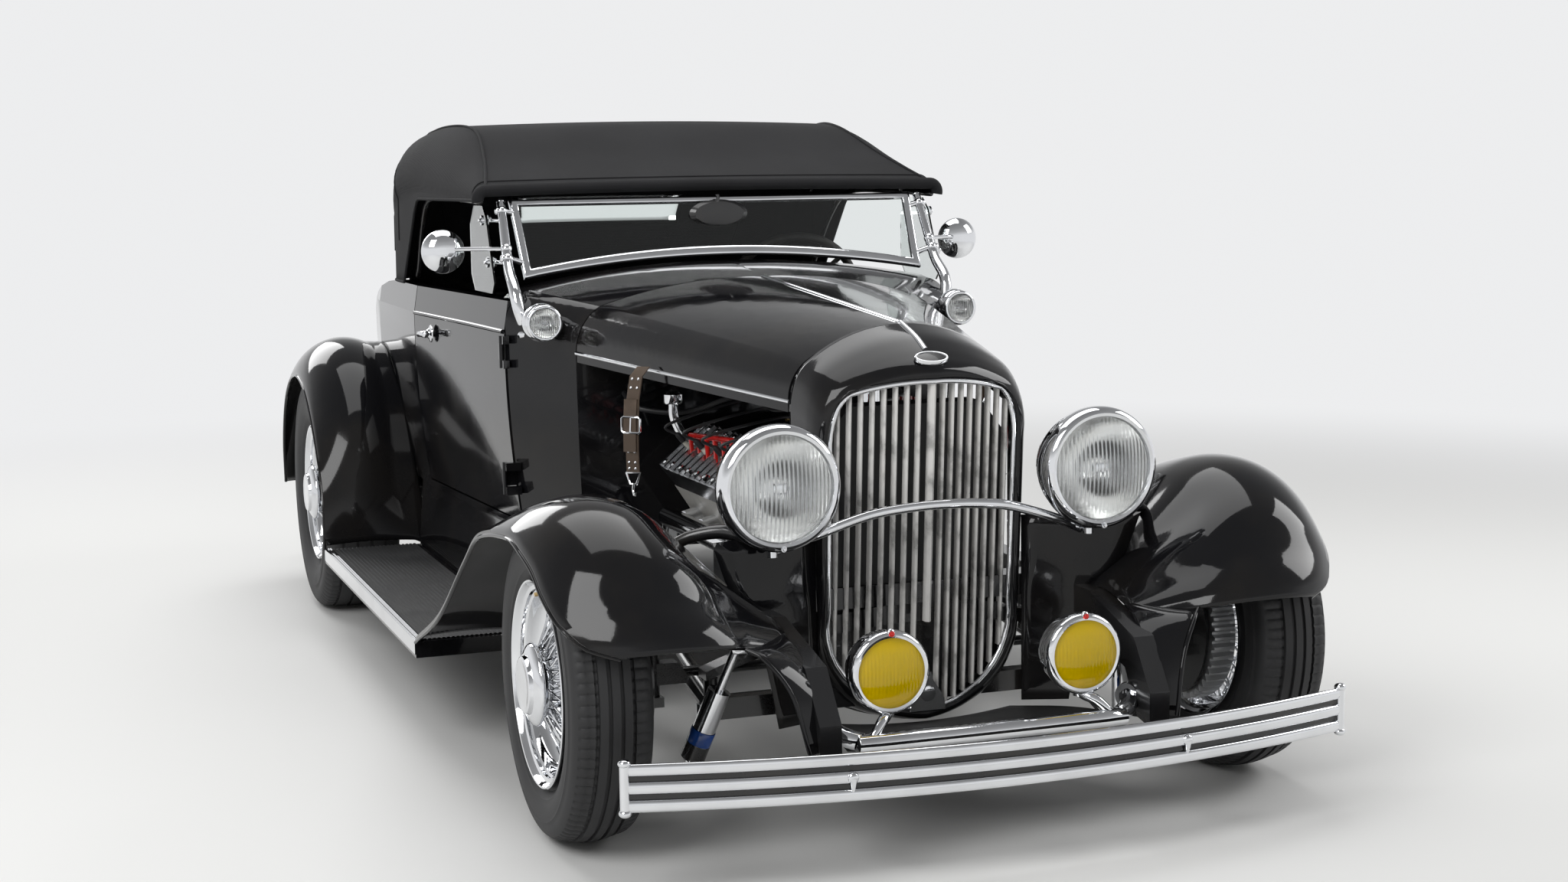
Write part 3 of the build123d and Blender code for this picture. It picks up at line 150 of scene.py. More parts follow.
class Shape:
    # gathers the faces of one piece
    def __init__(self):
        self.mesh = bmesh.new()
        self.finishes = []

    def use(self, finish):
        if finish not in self.finishes:
            self.finishes.append(finish)
        self.finish = self.finishes.index(finish)
        return self

    def face(self, corners):
        made = self.mesh.faces.new(corners)
        made.material_index = self.finish
        made.smooth = True

    def skin(self, rows, around=False, along=False, skip=None):
        # quads between neighbouring rows of points
        grid = [[self.mesh.verts.new(point) for point in row] for row in rows]
        lineup = grid + grid[:1] if along else grid
        for rowNumber, (first, second) in enumerate(zip(lineup, lineup[1:])):
            pairs = list(zip(first, second))
            pairs = pairs + pairs[:1] if around else pairs
            for columnNumber, ((a, b), (c, d)) in enumerate(zip(pairs, pairs[1:])):
                if skip is None or not skip(rowNumber, columnNumber):
                    self.face((a, c, d, b))
        return self

    def turn(self, profile, place, segments=64, teeth=None):
        # a turned form; profile holds (distance along the axis, radius)
        rows = []
        for step in range(segments):
            angle = math.tau * step / segments
            row = []
            for number, (along, radius) in enumerate(profile):
                reach = radius if teeth is None else radius - teeth(step, number)
                row.append(place @ Vector((reach * math.cos(angle), reach * math.sin(angle), along)))
            rows.append(row)
        return self.skin(rows, along=True)

    def tube(self, points, radius, sides=12, steps=8):
        # radius is one number, or one for each end
        path = smoothPath(points, steps)
        first, last = radius if isinstance(radius, tuple) else (radius, radius)
        across = (path[1] - path[0]).orthogonal().normalized()
        rows = []
        for number, here in enumerate(path):
            before, after = path[max(number - 1, 0)], path[min(number + 1, len(path) - 1)]
            run = (after - before).normalized()
            across = (across - run * across.dot(run)).normalized()
            side = run.cross(across)
            reach = first + (last - first) * number / (len(path) - 1)
            turns = [math.tau * step / sides for step in range(sides)]
            rows.append([here + (across * math.cos(t) + side * math.sin(t)) * reach for t in turns])
        rows = [[path[0]] * sides] + rows + [[path[-1]] * sides]
        return self.skin(rows, around=True)

    def plate(self, outline, thickness, place):
        low = [self.mesh.verts.new(place @ Vector((x, y, 0))) for x, y in outline]
        high = [self.mesh.verts.new(place @ Vector((x, y, thickness))) for x, y in outline]
        self.face(low[::-1])
        self.face(high)
        for a, b, c, d in zip(low, low[1:] + low[:1], high[1:] + high[:1], high):
            self.face((a, b, c, d))
        return self

    def block(self, centre, size):
        width, depth, height = size
        corners = [(1, 1), (-1, 1), (-1, -1), (1, -1)]
        outline = [(x * width / 2, y * depth / 2) for x, y in corners]
        return self.plate(outline, height, Matrix.Translation(Vector(centre) - Vector((0, 0, height / 2))))

    def ball(self, centre, radius, squash=1.0, direction=(0, 0, 1), segments=24):
        turns = [math.pi * step / 10 for step in range(11)]
        profile = [(-radius * squash * math.cos(t), radius * math.sin(t)) for t in turns]
        return self.turn(profile, facing(centre, direction), segments)

    def hexBolt(self, centre, direction, radius, height):
        place = facing(centre, direction)
        self.turn([(0, 0), (0, radius * 1.35), (height * 0.2, radius * 1.35), (height * 0.2, 0)], place, 20)
        profile = [(height * 0.2, radius), (height * 0.85, radius), (height, radius * 0.8), (height, 0)]
        return self.turn(profile, place, 6)

    def cap(self, profile, centre, direction, segments=32):
        # a turned form at a point, its axis along direction
        return self.turn(profile, facing(centre, direction), segments)

    def make(self, name, body, slot, sharp=32):
        bmesh.ops.remove_doubles(self.mesh, verts=self.mesh.verts, dist=1e-6)
        bmesh.ops.dissolve_degenerate(self.mesh, edges=self.mesh.edges, dist=1e-6)
        bmesh.ops.recalc_face_normals(self.mesh, faces=self.mesh.faces)
        for edge in self.mesh.edges:
            edge.smooth = len(edge.link_faces) != 2 or edge.calc_face_angle(0) < math.radians(sharp)
        data = bpy.data.meshes.new(name)
        self.mesh.to_mesh(data)
        self.mesh.free()
        for finish in self.finishes:
            data.materials.append(finish)
        piece = bpy.data.objects.new(name, data)
        bpy.context.scene.collection.objects.link(piece)
        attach(piece, body)
        return piece


# Finishes


class Wire:
    # an output socket that can be used in sums
    def __init__(self, wiring, socket):
        self.wiring = wiring
        self.socket = socket

    def maths(self, operation, first, second=0):
        return self.wiring.node("ShaderNodeMath", {"operation": operation}, {0: first, 1: second})

    def __add__(self, other):
        return self.maths("ADD", self, other)

    def __radd__(self, other):
        return self.maths("ADD", other, self)

    def __sub__(self, other):
        return self.maths("SUBTRACT", self, other)

    def __rsub__(self, other):
        return self.maths("SUBTRACT", other, self)

    def __mul__(self, other):
        return self.maths("MULTIPLY", self, other)

    def __rmul__(self, other):
        return self.maths("MULTIPLY", other, self)

    def sine(self):
        return self.maths("SINE", self)

    def either(self, other):
        return self.maths("MAXIMUM", self, other)

    def between(self, low, high):
        # 0 below low, 1 above high, smooth in between
        settings = {"interpolation_type": "SMOOTHSTEP"}
        sockets = {"Value": self, "From Min": low, "From Max": high}
        return self.wiring.node("ShaderNodeMapRange", settings, sockets)


class Wiring:
    # the nodes of one material, or of the world
    def __init__(self, owner):
        owner.use_nodes = True
        self.tree = owner.node_tree

    def join(self, value, socket):
        if isinstance(value, Wire):
            self.tree.links.new(value.socket, socket)
        else:
            socket.default_value = value

    def node(self, kind, settings=None, sockets=None, output=0):
        made = self.tree.nodes.new(kind)
        for key, value in (settings or {}).items():
            if key == "stops":
                self.setStops(made.color_ramp.elements, value)
            else:
                setattr(made, key, value)
        for key, value in (sockets or {}).items():
            self.join(value, made.inputs[key])
        return Wire(self, made.outputs[output])

    def setStops(self, elements, stops):
        while len(elements) < len(stops):
            elements.new(1.0)
        for element, (position, colour) in zip(elements, stops):
            element.position = position
            element.color = (*colour, 1)


class Finish(Wiring):
    def __init__(self, name, colour, roughness, **sockets):
        self.material = bpy.data.materials.new(name)
        super().__init__(self.material)
        self.shader = self.tree.nodes["Principled BSDF"]
        self.drive("Base Color", (*colour, 1))
        self.drive("Roughness", roughness)
        for key, value in sockets.items():
            self.drive(key.replace("_", " "), value)
        self.place = self.node("ShaderNodeTexCoord", output="Object")

    def noise(self, scale, detail=2, stretch=None):
        place = self.place
        if stretch:
            place = self.node("ShaderNodeMapping", None, {"Vector": place, "Scale": stretch})
        return self.node("ShaderNodeTexNoise", None, {"Vector": place, "Scale": scale, "Detail": detail})

    def axis(self, letter):
        return self.node("ShaderNodeSeparateXYZ", None, {0: self.place}, letter)

    def mix(self, mask, first, second):
        settings = {"data_type": "RGBA"}
        return self.node("ShaderNodeMix", settings, {0: mask, 6: (*first, 1), 7: (*second, 1)}, 2)

    def drive(self, socket, value):
        self.join(value, self.shader.inputs[socket])
        return self

    def bump(self, height, distance, strength=1.0):
        sockets = {"Height": height, "Distance": distance, "Strength": strength}
        return self.drive("Normal", self.node("ShaderNodeBump", None, sockets))


def paint(name, colour, dusty, roughness, **sockets):
    made = Finish(name, colour, roughness, **sockets)
    film = made.noise(5, 5).between(0.42, 0.72)
    made.drive("Base Color", made.mix(film * 0.5, colour, dusty))
    made.drive("Roughness", roughness + film * 0.05 + made.noise(420, 2) * 0.03)
    made.bump(made.noise(210, 2), 0.00005)
    return made.material


def metal(name, colour, roughness, grain=(1, 1, 1), grainScale=300, depth=0.00003):
    made = Finish(name, colour, roughness, Metallic=1.0)
    smear = made.noise(9, 6).between(0.4, 0.75)
    lines = made.noise(grainScale, 4, grain)
    darker = tuple(part * 0.9 for part in colour)
    made.drive("Base Color", made.mix(smear, colour, darker))
    made.drive("Roughness", roughness + smear * roughness * 0.8 + lines * roughness * 0.5)
    made.bump(lines, depth)
    return made.material


def rubber(name, colour, roughness, depth=0.0002):
    made = Finish(name, colour, roughness)
    dust = made.noise(7, 6).between(0.45, 0.75)
    grit = made.noise(1300, 3)
    dusty = tuple(part * 1.7 + 0.008 for part in colour)
    made.drive("Base Color", made.mix(dust * 0.6, colour, dusty))
    made.drive("Roughness", roughness + dust * 0.12 + grit * 0.1)
    made.bump(grit, depth, 0.6)
    return made.material


def cloth(name, colour, thread, depth):
    # a plain weave that runs along all three axes
    made = Finish(name, colour, 0.86, Specular_IOR_Level=0.3)
    threads = [(made.axis(letter) * (math.tau / thread)).sine() for letter in "XYZ"]
    weave = (threads[0] + threads[1] + threads[2]) * 0.17 + 0.5
    fade = made.noise(4, 5).between(0.35, 0.75)
    lighter = tuple(part * 1.8 + 0.004 for part in colour)
    made.drive("Base Color", made.mix(weave * 0.35 + fade * 0.4, colour, lighter))
    made.drive("Roughness", 0.78 + made.noise(700) * 0.18)
    made.bump(weave + made.noise(900) * 0.6, depth)
    return made.material


def leather(name, colour, worn, scale=420):
    made = Finish(name, colour, 0.5, Coat_Weight=0.08, Coat_Roughness=0.4)
    sockets = {"Vector": made.place, "Scale": scale}
    grain = made.node("ShaderNodeTexVoronoi", {"feature": "DISTANCE_TO_EDGE"}, sockets).between(0.0, 0.25)
    wear = made.noise(14, 6).between(0.45, 0.72)
    made.drive("Base Color", made.mix(wear, colour, worn))
    made.drive("Roughness", 0.42 + made.noise(60, 4) * 0.25)
    made.bump(grain + wear * 0.4, 0.00035)
    return made.material


def glass(name, colour, roughness=0.0, weight=1.0):
    made = Finish(name, colour, roughness, IOR=1.46, Transmission_Weight=weight)
    made.drive("Roughness", roughness + made.noise(16, 5).between(0.55, 0.8) * 0.03)
    return made.material


def iron(name, colour, roughness, depth=0.0005):
    made = Finish(name, colour, roughness)
    sand = made.noise(330, 4)
    oil = made.noise(18, 5).between(0.45, 0.7)
    darker = tuple(part * 0.5 for part in colour)
    made.drive("Base Color", made.mix(oil, colour, darker))
    made.drive("Roughness", roughness - oil * roughness * 0.4 + sand * 0.12)
    made.bump(sand, depth)
    return made.material


black = (0.006, 0.006, 0.007)
bodyPaint = paint("gloss body paint", black, (0.016, 0.014, 0.012), 0.05, Coat_Weight=0.4,
                  Coat_Roughness=0.02, Coat_IOR=1.35, Specular_IOR_Level=0.22)
chassisPaint = paint("satin chassis paint", (0.011, 0.011, 0.012), (0.03, 0.026, 0.022), 0.24,
                     Coat_Weight=0.35)
chrome = metal("chrome plate", (0.8, 0.81, 0.83), 0.035)
stainless = metal("brushed stainless", (0.6, 0.605, 0.61), 0.2, (1, 1, 0.03), 700, 0.00002)
polished = metal("polished aluminium", (0.74, 0.745, 0.755), 0.13, (1, 1, 1), 160, 0.00008)
cast = metal("cast aluminium", (0.5, 0.505, 0.51), 0.36, (1, 1, 1), 420, 0.0004)
blockEnamel = iron("engine block enamel", (0.42, 0.41, 0.385), 0.4, 0.0003)
castIron = iron("engine iron", (0.03, 0.031, 0.034), 0.45)
tyreRubber = rubber("tyre rubber", (0.017, 0.017, 0.018), 0.55)
matRubber = rubber("mat rubber", (0.014, 0.014, 0.015), 0.6)
hoseRubber = rubber("hose rubber", (0.012, 0.012, 0.013), 0.4, 0.00006)
canvas = cloth("black canvas", (0.0075, 0.0075, 0.0085), 0.0022, 0.00045)
seatLeather = leather("seat leather", (0.02, 0.017, 0.015), (0.034, 0.029, 0.025))
strapLeather = leather("strap leather", (0.085, 0.056, 0.036), (0.15, 0.105, 0.07), 700)
clearGlass = glass("clear glass", (0.93, 0.965, 0.955))
lensGlass = glass("lens glass", (0.97, 0.98, 0.98))
reflector = metal("silvered reflector", (0.97, 0.97, 0.96), 0.14)
grilleBar = iron("enamelled grille bar", (0.70, 0.69, 0.67), 0.3, 0.00004)
amberGlass = glass("amber glass", (1.0, 0.74, 0.0), 0.02, 0.55)
redGlass = glass("red glass", (0.75, 0.02, 0.015))
radiatorBlack = rubber("radiator black", (0.015, 0.015, 0.015), 0.5, 0.0003)
redEnamel = paint("red enamel", (0.5, 0.012, 0.01), (0.4, 0.02, 0.015), 0.12, Coat_Weight=0.6)
blueEnamel = paint("blue enamel", (0.01, 0.06, 0.28), (0.01, 0.05, 0.2), 0.15, Coat_Weight=0.5)
brass = metal("brass", (0.72, 0.5, 0.22), 0.2)
dialFace = paint("dial face", (0.55, 0.53, 0.47), (0.5, 0.47, 0.4), 0.4)
carpet = cloth("floor carpet", (0.016, 0.015, 0.015), 0.004, 0.0012)

nodeFinishes = [
    (bodyPaint, "left_hood right_hood cowl dashboard left_door right_door rear_body deck_lid front_fenders "
                "rear_fenders splash_aprons radiator_shell running_boards"),
    (chassisPaint, "frame front_axle leaf_springs rear_axle left_knuckle right_knuckle tie_rod radius_rods "
                   "bumper_irons steering_column fuel_tank"),
    (chrome, "headlights fog_lights cowl_lights front_bumper rear_bumper spreader_bar windshield_frame "
             "windshield_posts hood_hinge front_shocks exhausts intake tail_lights front_left_wheel "
             "front_right_wheel rear_left_wheel rear_right_wheel"),
    (stainless, "grille"),
    (polished, "cylinder_heads"),
    (blockEnamel, "engine_block"),
    (castIron, "gearbox"),
    (tyreRubber, "front_left_tyre front_right_tyre rear_left_tyre rear_right_tyre"),
    (radiatorBlack, "radiator"),
    (carpet, "floor"),
    (seatLeather, "seat_cushion seat_back steering_wheel"),
    (canvas, "soft_top"),
    (clearGlass, "windshield_glass wind_wings"),
    (lensGlass, "headlight_lenses"),
    (amberGlass, "fog_lenses"),
]
dressed = set()
for finish, names in nodeFinishes:
    for name in names.split():
        for slot in nodes[name].material_slots:
            slot.material = finish
        dressed.add(name)
# shade the painted panels smoothly, with their creases kept sharp
panels = "left_hood right_hood cowl left_door right_door rear_body deck_lid radiator_shell splash_aprons"
for name in panels.split():
    weld = nodes[name].modifiers.new("weld", "WELD")
    weld.merge_threshold = 0.00002
    split = nodes[name].modifiers.new("creases", "EDGE_SPLIT")
    split.split_angle = math.radians(36 if name == "rear_body" else 24)
    even = nodes[name].modifiers.new("even", "WEIGHTED_NORMAL")
    even.keep_sharp = True
print("finishes:", len(nodeFinishes), "kinds; nodes without one:", sorted(set(nodes) - dressed))

# Tyres

tyre = {
    "front": dict(radius=0.321, width=0.166, rimHalf=0.078, treadShare=0.3, crownDrop=0.009),
    "rear": dict(radius=0.359, width=0.224, rimHalf=0.094, treadShare=0.39, crownDrop=0.005),
    "ring": 0.213, "bead": 0.1905, "rim": 0.203, "grooveDepth": 0.006, "grooveHalf": 0.0032,
    "grooves": (0.24, 0.72), "sipes": 92, "sipeDepth": 0.0028, "sipeRows": 4,
    "wallRise": 0.028, "shoulderShare": 0.71, "ridge": 0.0012, "ridgeRows": (2, 13),
}


def treadLine(size):
    # the tread from edge to edge: x, radius, and the share of the half width
    edge = size["width"] * size["treadShare"]
    marks = {-1.0, 1.0, 0.0}
    for share in tyre["grooves"]:
        half = tyre["grooveHalf"] / edge
        for side in (-1, 1):
            marks |= {side * share + half * step for step in (-1.3, -1, 1, 1.3)}
    line = []
    for share in sorted(marks):
        x = edge * share
        drop = size["crownDrop"] * share * share
        deep = any(abs(abs(share) - groove) < tyre["grooveHalf"] / edge * 1.01 for groove in tyre["grooves"])
        line.append((x, size["radius"] - drop - deep * tyre["grooveDepth"]))
    return line


def makeTyre(name, size, centre, side, body):
    half = size["width"] / 2
    edge = (size["width"] * size["treadShare"], size["radius"] - size["crownDrop"])
    wallHeight = (size["radius"] + tyre["rim"]) / 2 - 0.008
    wallTop = (half - 0.002, wallHeight + tyre["wallRise"])
    shoulder = (edge[0] + (wallTop[0] - edge[0]) * tyre["shoulderShare"],
                wallTop[1] + (edge[1] - wallTop[1]) * tyre["shoulderShare"])
    bead = size["rimHalf"] - 0.014
    wall = arc(edge, shoulder, wallTop, 12)[1:]
    flank = arc(wallTop, (half, wallHeight), (bead, tyre["ring"]), 18)
    raised = [(x + tyre["ridge"] * (number in tyre["ridgeRows"]), r) for number, (x, r) in enumerate(flank)]
    outer = wall + raised + [(bead, tyre["ring"]), (bead - 0.001, tyre["bead"])]
    mirrored = [(-x, r) for x, r in reversed(outer)]
    profile = mirrored + treadLine(size) + outer
    shoulders = (len(mirrored) - 1, len(profile) - len(outer))

    def sipe(step, number):
        # short cuts across both shoulders
        near = min(abs(number - shoulder) for shoulder in shoulders)
        return tyre["sipeDepth"] if step % 4 == 0 and near <= tyre["sipeRows"] else 0

    shape = Shape().use(tyreRubber)
    shape.turn(profile, facing(centre, (side, 0, 0)), tyre["sipes"] * 4, sipe)
    return shape.make(name, body, "tyre_rubber", sharp=28)


# Wire wheels

wheel = {
    "front": dict(half=0.078, ring=0.084, drum=-0.110),
    "rear": dict(half=0.094, ring=0.100, drum=-0.090),
    "pairs": 20, "spoke": 0.0024, "lean": 19, "spread": 1.6, "well": 0.1675, "nipple": 0.016,
    "drumRadius": 0.165, "drumWidth": 0.062, "fins": 48, "finDepth": 0.011,
}


def makeWheel(name, size, centre, side, node):
    # profiles hold (distance from the wheel's middle plane, radius)
    half, ring, drum = size["half"], size["ring"], size["drum"]
    place = facing(centre, (side, 0, 0))
    shape = Shape().use(chrome)
    rim = [
        (half - 0.004, 0.2095), (half - 0.001, 0.2100), (half + 0.001, 0.2080), (half, 0.2045),
        (half - 0.006, 0.2010), (half - 0.012, 0.1975), (half - 0.020, 0.1900), (half - 0.024, 0.1845),
        (half - 0.034, 0.1812), (half - 0.046, 0.1790), (half - 0.052, 0.1740), (half - 0.056, 0.1690),
        (half - 0.064, 0.1672),
        (-half + 0.056, 0.1672), (-half + 0.048, 0.1700), (-half + 0.040, 0.1780), (-half + 0.014, 0.1835),
        (-half + 0.008, 0.1950), (-half, 0.2030), (-half + 0.004, 0.2030), (-half + 0.012, 0.1895),
        (-half + 0.040, 0.1890), (-half + 0.050, 0.1740), (half - 0.052, 0.1780), (half - 0.042, 0.1890),
        (half - 0.014, 0.1895), (half - 0.010, 0.2030),
    ]
    shape.turn(rim + rim[:1], place, 160)
    flange = ring - 0.006
    cap = [
        (flange, 0.040), (flange, 0.0835), (flange + 0.004, 0.0842), (flange + 0.008, 0.0830),
        (flange + 0.012, 0.0785), (flange + 0.0165, 0.0700), (flange + 0.0195, 0.0630),
        (flange + 0.0190, 0.0600), (flange + 0.0215, 0.0590), (flange + 0.0265, 0.0575),
        (flange + 0.0285, 0.0540), (flange + 0.0285, 0.0500), (flange + 0.0270, 0.0470),
        (flange + 0.0275, 0.0300), (flange + 0.0285, 0.0),
    ]
    shape.turn(cap, place, 96)
    face = drum + wheel["drumWidth"]
    hub = [
        (drum + 0.004, 0.024), (drum + 0.004, 0.044), (face + 0.001, 0.050), (face + 0.006, 0.074),
        (face + 0.010, 0.075), (face + 0.013, 0.066), (face + 0.020, 0.054), (ring - 0.030, 0.050),
        (ring - 0.024, 0.060), (ring - 0.018, 0.066), (ring - 0.014, 0.066), (ring - 0.010, 0.060),
        (flange, 0.060), (flange, 0.024),
    ]
    shape.turn(hub, place, 72)
    # two rows of spokes: place and radius of the root, place of the tip, turn in spokes
    rows = [(ring - 0.017, 0.064, 0.012, -0.006), (face + 0.009, 0.072, -0.014, 0.4)]
    well = wheel["well"]
    for offset, root, tipOffset, shift in rows:
        for number in range(wheel["pairs"]):
            angle = math.tau * (number + shift) / wheel["pairs"]
            for lean in (-1, 1):
                back = angle + math.radians(wheel["lean"]) * lean
                tip = angle + math.radians(wheel["spread"]) * lean
                start = Vector((root * math.cos(back), root * math.sin(back), offset + lean * 0.0015))
                end = Vector((well * math.cos(tip), well * math.sin(tip), tipOffset + lean * 0.004))
                run = (start - end).normalized()
                shape.tube([place @ start, place @ end], wheel["spoke"], 8, 1)
                shape.tube([place @ end, place @ (end + run * wheel["nipple"])], (0.0046, 0.003), 8, 1)
    shape.use(cast)

    def fin(step, number):
        # slots between the cooling fins round the drum
        return wheel["finDepth"] if step % 4 > 1 and 1 < number < 6 else 0

    radius = wheel["drumRadius"]
    outline = [(drum + 0.004, 0.046), (drum, radius - 0.03), (drum, radius - 0.002), (drum + 0.004, radius),
               (drum + 0.018, radius), (drum + 0.044, radius), (face - 0.010, radius - 0.004),
               (face - 0.003, radius - 0.020), (face, radius - 0.040), (face, 0.046)]
    shape.turn(outline, place, wheel["fins"] * 4, fin)
    shape.use(brass)
    valve = [Vector((0, 0.184, half - 0.030)), Vector((0, 0.181, half - 0.002))]
    shape.tube([place @ point for point in valve], 0.0042, 10, 1)
    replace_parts(shape.make(name, node, "chrome"), node)


for end in ("front", "rear"):
    for sideName, side in leftRight:
        corner = f"{end}_{sideName}"
        centre = middle(corner + "_tyre")
        tread = makeTyre(corner + "_tyre_tread", tyre[end], centre, side, corner + "_wheel")
        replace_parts(tread, corner + "_tyre")
        makeWheel(corner + "_wire_wheel", wheel[end], centre, side, corner + "_wheel")
print("tyres and wire wheels made")

# Fenders: smooth sheets through sections that lean round the wheel

fender = {
    # station and z are the point the section leans round; the rest are x and reach from there
    "columns": ("station", "z", "lean", "lipX", "lip", "crownX", "crown", "innerX", "inner", "footX",
                "foot"),
    "front": [
        (-0.037, 0.325, 71, 0.742, 0.349, 0.628, 0.372, 0.489, 0.312, 0.385, 0.245),
        (-0.037, 0.325, 66, 0.798, 0.324, 0.650, 0.371, 0.495, 0.311, 0.377, 0.234),
        (-0.037, 0.325, 60.5, 0.821, 0.308, 0.672, 0.364, 0.503, 0.302, 0.373, 0.217),
        (-0.037, 0.325, 55, 0.836, 0.298, 0.690, 0.356, 0.510, 0.292, 0.372, 0.200),
        (-0.037, 0.325, 40, 0.853, 0.284, 0.694, 0.367, 0.540, 0.304, 0.372, 0.160),
        (-0.037, 0.325, 25, 0.858, 0.287, 0.697, 0.370, 0.575, 0.314, 0.372, 0.128),
        (-0.037, 0.325, 10, 0.864, 0.292, 0.700, 0.372, 0.590, 0.326, 0.372, 0.118),
        (-0.037, 0.325, -5, 0.866, 0.304, 0.702, 0.373, 0.598, 0.332, 0.376, 0.119),
        (-0.037, 0.325, -20, 0.869, 0.318, 0.706, 0.378, 0.600, 0.342, 0.384, 0.126),
        (-0.037, 0.325, -35, 0.872, 0.350, 0.712, 0.398, 0.590, 0.366, 0.392, 0.146),
        (-0.037, 0.325, -50, 0.876, 0.402, 0.720, 0.433, 0.552, 0.392, 0.420, 0.190),
        (-0.037, 0.325, -64, 0.882, 0.446, 0.728, 0.474, 0.540, 0.398, 0.470, 0.270),
        (0.585, 0.0, 0, 0.896, 0.366, 0.745, 0.394, 0.620, 0.374, 0.560, 0.330),
        (0.8328, 0.0, 0, 0.905, 0.262, 0.765, 0.270, 0.624, 0.258, 0.612, 0.246),
    ],
    "rear": [
        (2.2282, 0.0, 0, 0.905, 0.262, 0.790, 0.268, 0.640, 0.262, 0.590, 0.240),
        (2.700, 0.365, 84, 0.900, 0.442, 0.790, 0.452, 0.690, 0.430, 0.612, 0.424),
        (2.700, 0.365, 66, 0.902, 0.406, 0.795, 0.450, 0.690, 0.430, 0.622, 0.421),
        (2.700, 0.365, 48, 0.902, 0.378, 0.800, 0.454, 0.690, 0.440, 0.630, 0.431),
        (2.700, 0.365, 30, 0.902, 0.368, 0.802, 0.459, 0.690, 0.448, 0.642, 0.443),
        (2.700, 0.365, 12, 0.902, 0.367, 0.802, 0.463, 0.690, 0.455, 0.640, 0.452),
        (2.700, 0.365, -6, 0.902, 0.369, 0.802, 0.464, 0.690, 0.456, 0.636, 0.452),
        (2.700, 0.365, -24, 0.902, 0.376, 0.802, 0.466, 0.690, 0.455, 0.628, 0.449),
        (2.700, 0.365, -42, 0.902, 0.388, 0.802, 0.470, 0.690, 0.456, 0.612, 0.446),
        (2.700, 0.365, -60, 0.900, 0.408, 0.800, 0.478, 0.690, 0.462, 0.590, 0.448),
        (2.700, 0.365, -78, 0.896, 0.440, 0.795, 0.500, 0.690, 0.484, 0.560, 0.464),
        (2.700, 0.365, -94, 0.888, 0.490, 0.790, 0.540, 0.690, 0.524, 0.480, 0.490),
    ],
    "lipDepth": 0.012, "sheet": 0.0025, "bead": 0.0046, "across": 22, "between": 7,
}


def easeRows(rows, steps):
    # rows of points eased smoothly from one to the next, whatever their distances
    gaps = []
    for first, second in zip(rows, rows[1:]):
        gaps.append(sum((b - a).length for a, b in zip(first, second)) / len(first))
    slopes = [[(b - a) / gaps[0] for a, b in zip(rows[0], rows[1])]]
    for number in range(1, len(rows) - 1):
        before, after = gaps[number - 1], gaps[number]
        slopes.append([((b - a) / before * after + (c - b) / after * before) / (before + after)
                       for a, b, c in zip(*rows[number - 1:number + 2])])
    slopes.append([(b - a) / gaps[-1] for a, b in zip(rows[-2], rows[-1])])
    eased = []
    for number, gap in enumerate(gaps):
        count = max(2, round(steps * gap / (sum(gaps) / len(gaps))))
        for step in range(count):
            t = step / count
            a, b = 2 * t ** 3 - 3 * t ** 2 + 1, t ** 3 - 2 * t ** 2 + t
            c, d = 3 * t ** 2 - 2 * t ** 3, t ** 3 - t ** 2
            eased.append([p * a + m * gap * b + q * c + n * gap * d for p, m, q, n in
                          zip(rows[number], slopes[number], rows[number + 1], slopes[number + 1])])
    return eased + [rows[-1]]


def fenderRow(section, side):
    # lip, arc over the crown, then straight down to the foot
    part = dict(zip(fender["columns"], section))
    lip, crown, inner = ((part[name + "X"], part[name]) for name in ("lip", "crown", "inner"))
    foot = (part["footX"], part["foot"])
    line = [(lip[0], lip[1] - fender["lipDepth"]), (lip[0] + 0.0005, lip[1] - fender["lipDepth"] * 0.5)]
    line += arc(lip, crown, inner, fender["across"])
    line += straight(inner, foot, 6) + [foot]
    lean = math.radians(part["lean"])
    ahead, up = math.sin(lean), math.cos(lean)
    return [spot(x * side, part["station"] - r * ahead, part["z"] + r * up) for x, r in line]


def thicken(piece, thickness, offset=-1):
    solid = piece.modifiers.new("thickness", "SOLIDIFY")
    solid.thickness, solid.offset = thickness, offset
    return piece


for end in ("front", "rear"):
    sheets = Shape().use(bodyPaint)
    beads = Shape().use(bodyPaint)
    for side in sides:
        rows = easeRows([fenderRow(section, side) for section in fender[end]], fender["between"])
        rows = [row[::side] for row in rows]
        sheets.skin(rows)
        edge = 0 if side == 1 else -1
        beads.tube([row[edge] for row in rows], fender["bead"], 10, 1)
    skin = sheets.make(f"{end}_fender_skins", "chassis", "body_paint", sharp=50)
    thicken(skin, fender["sheet"])
    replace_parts(skin, f"{end}_fenders")
    beads.make(f"{end}_fender_beads", "chassis", "body_paint")
print("fenders made")

# Soft top: one sheet over three bows

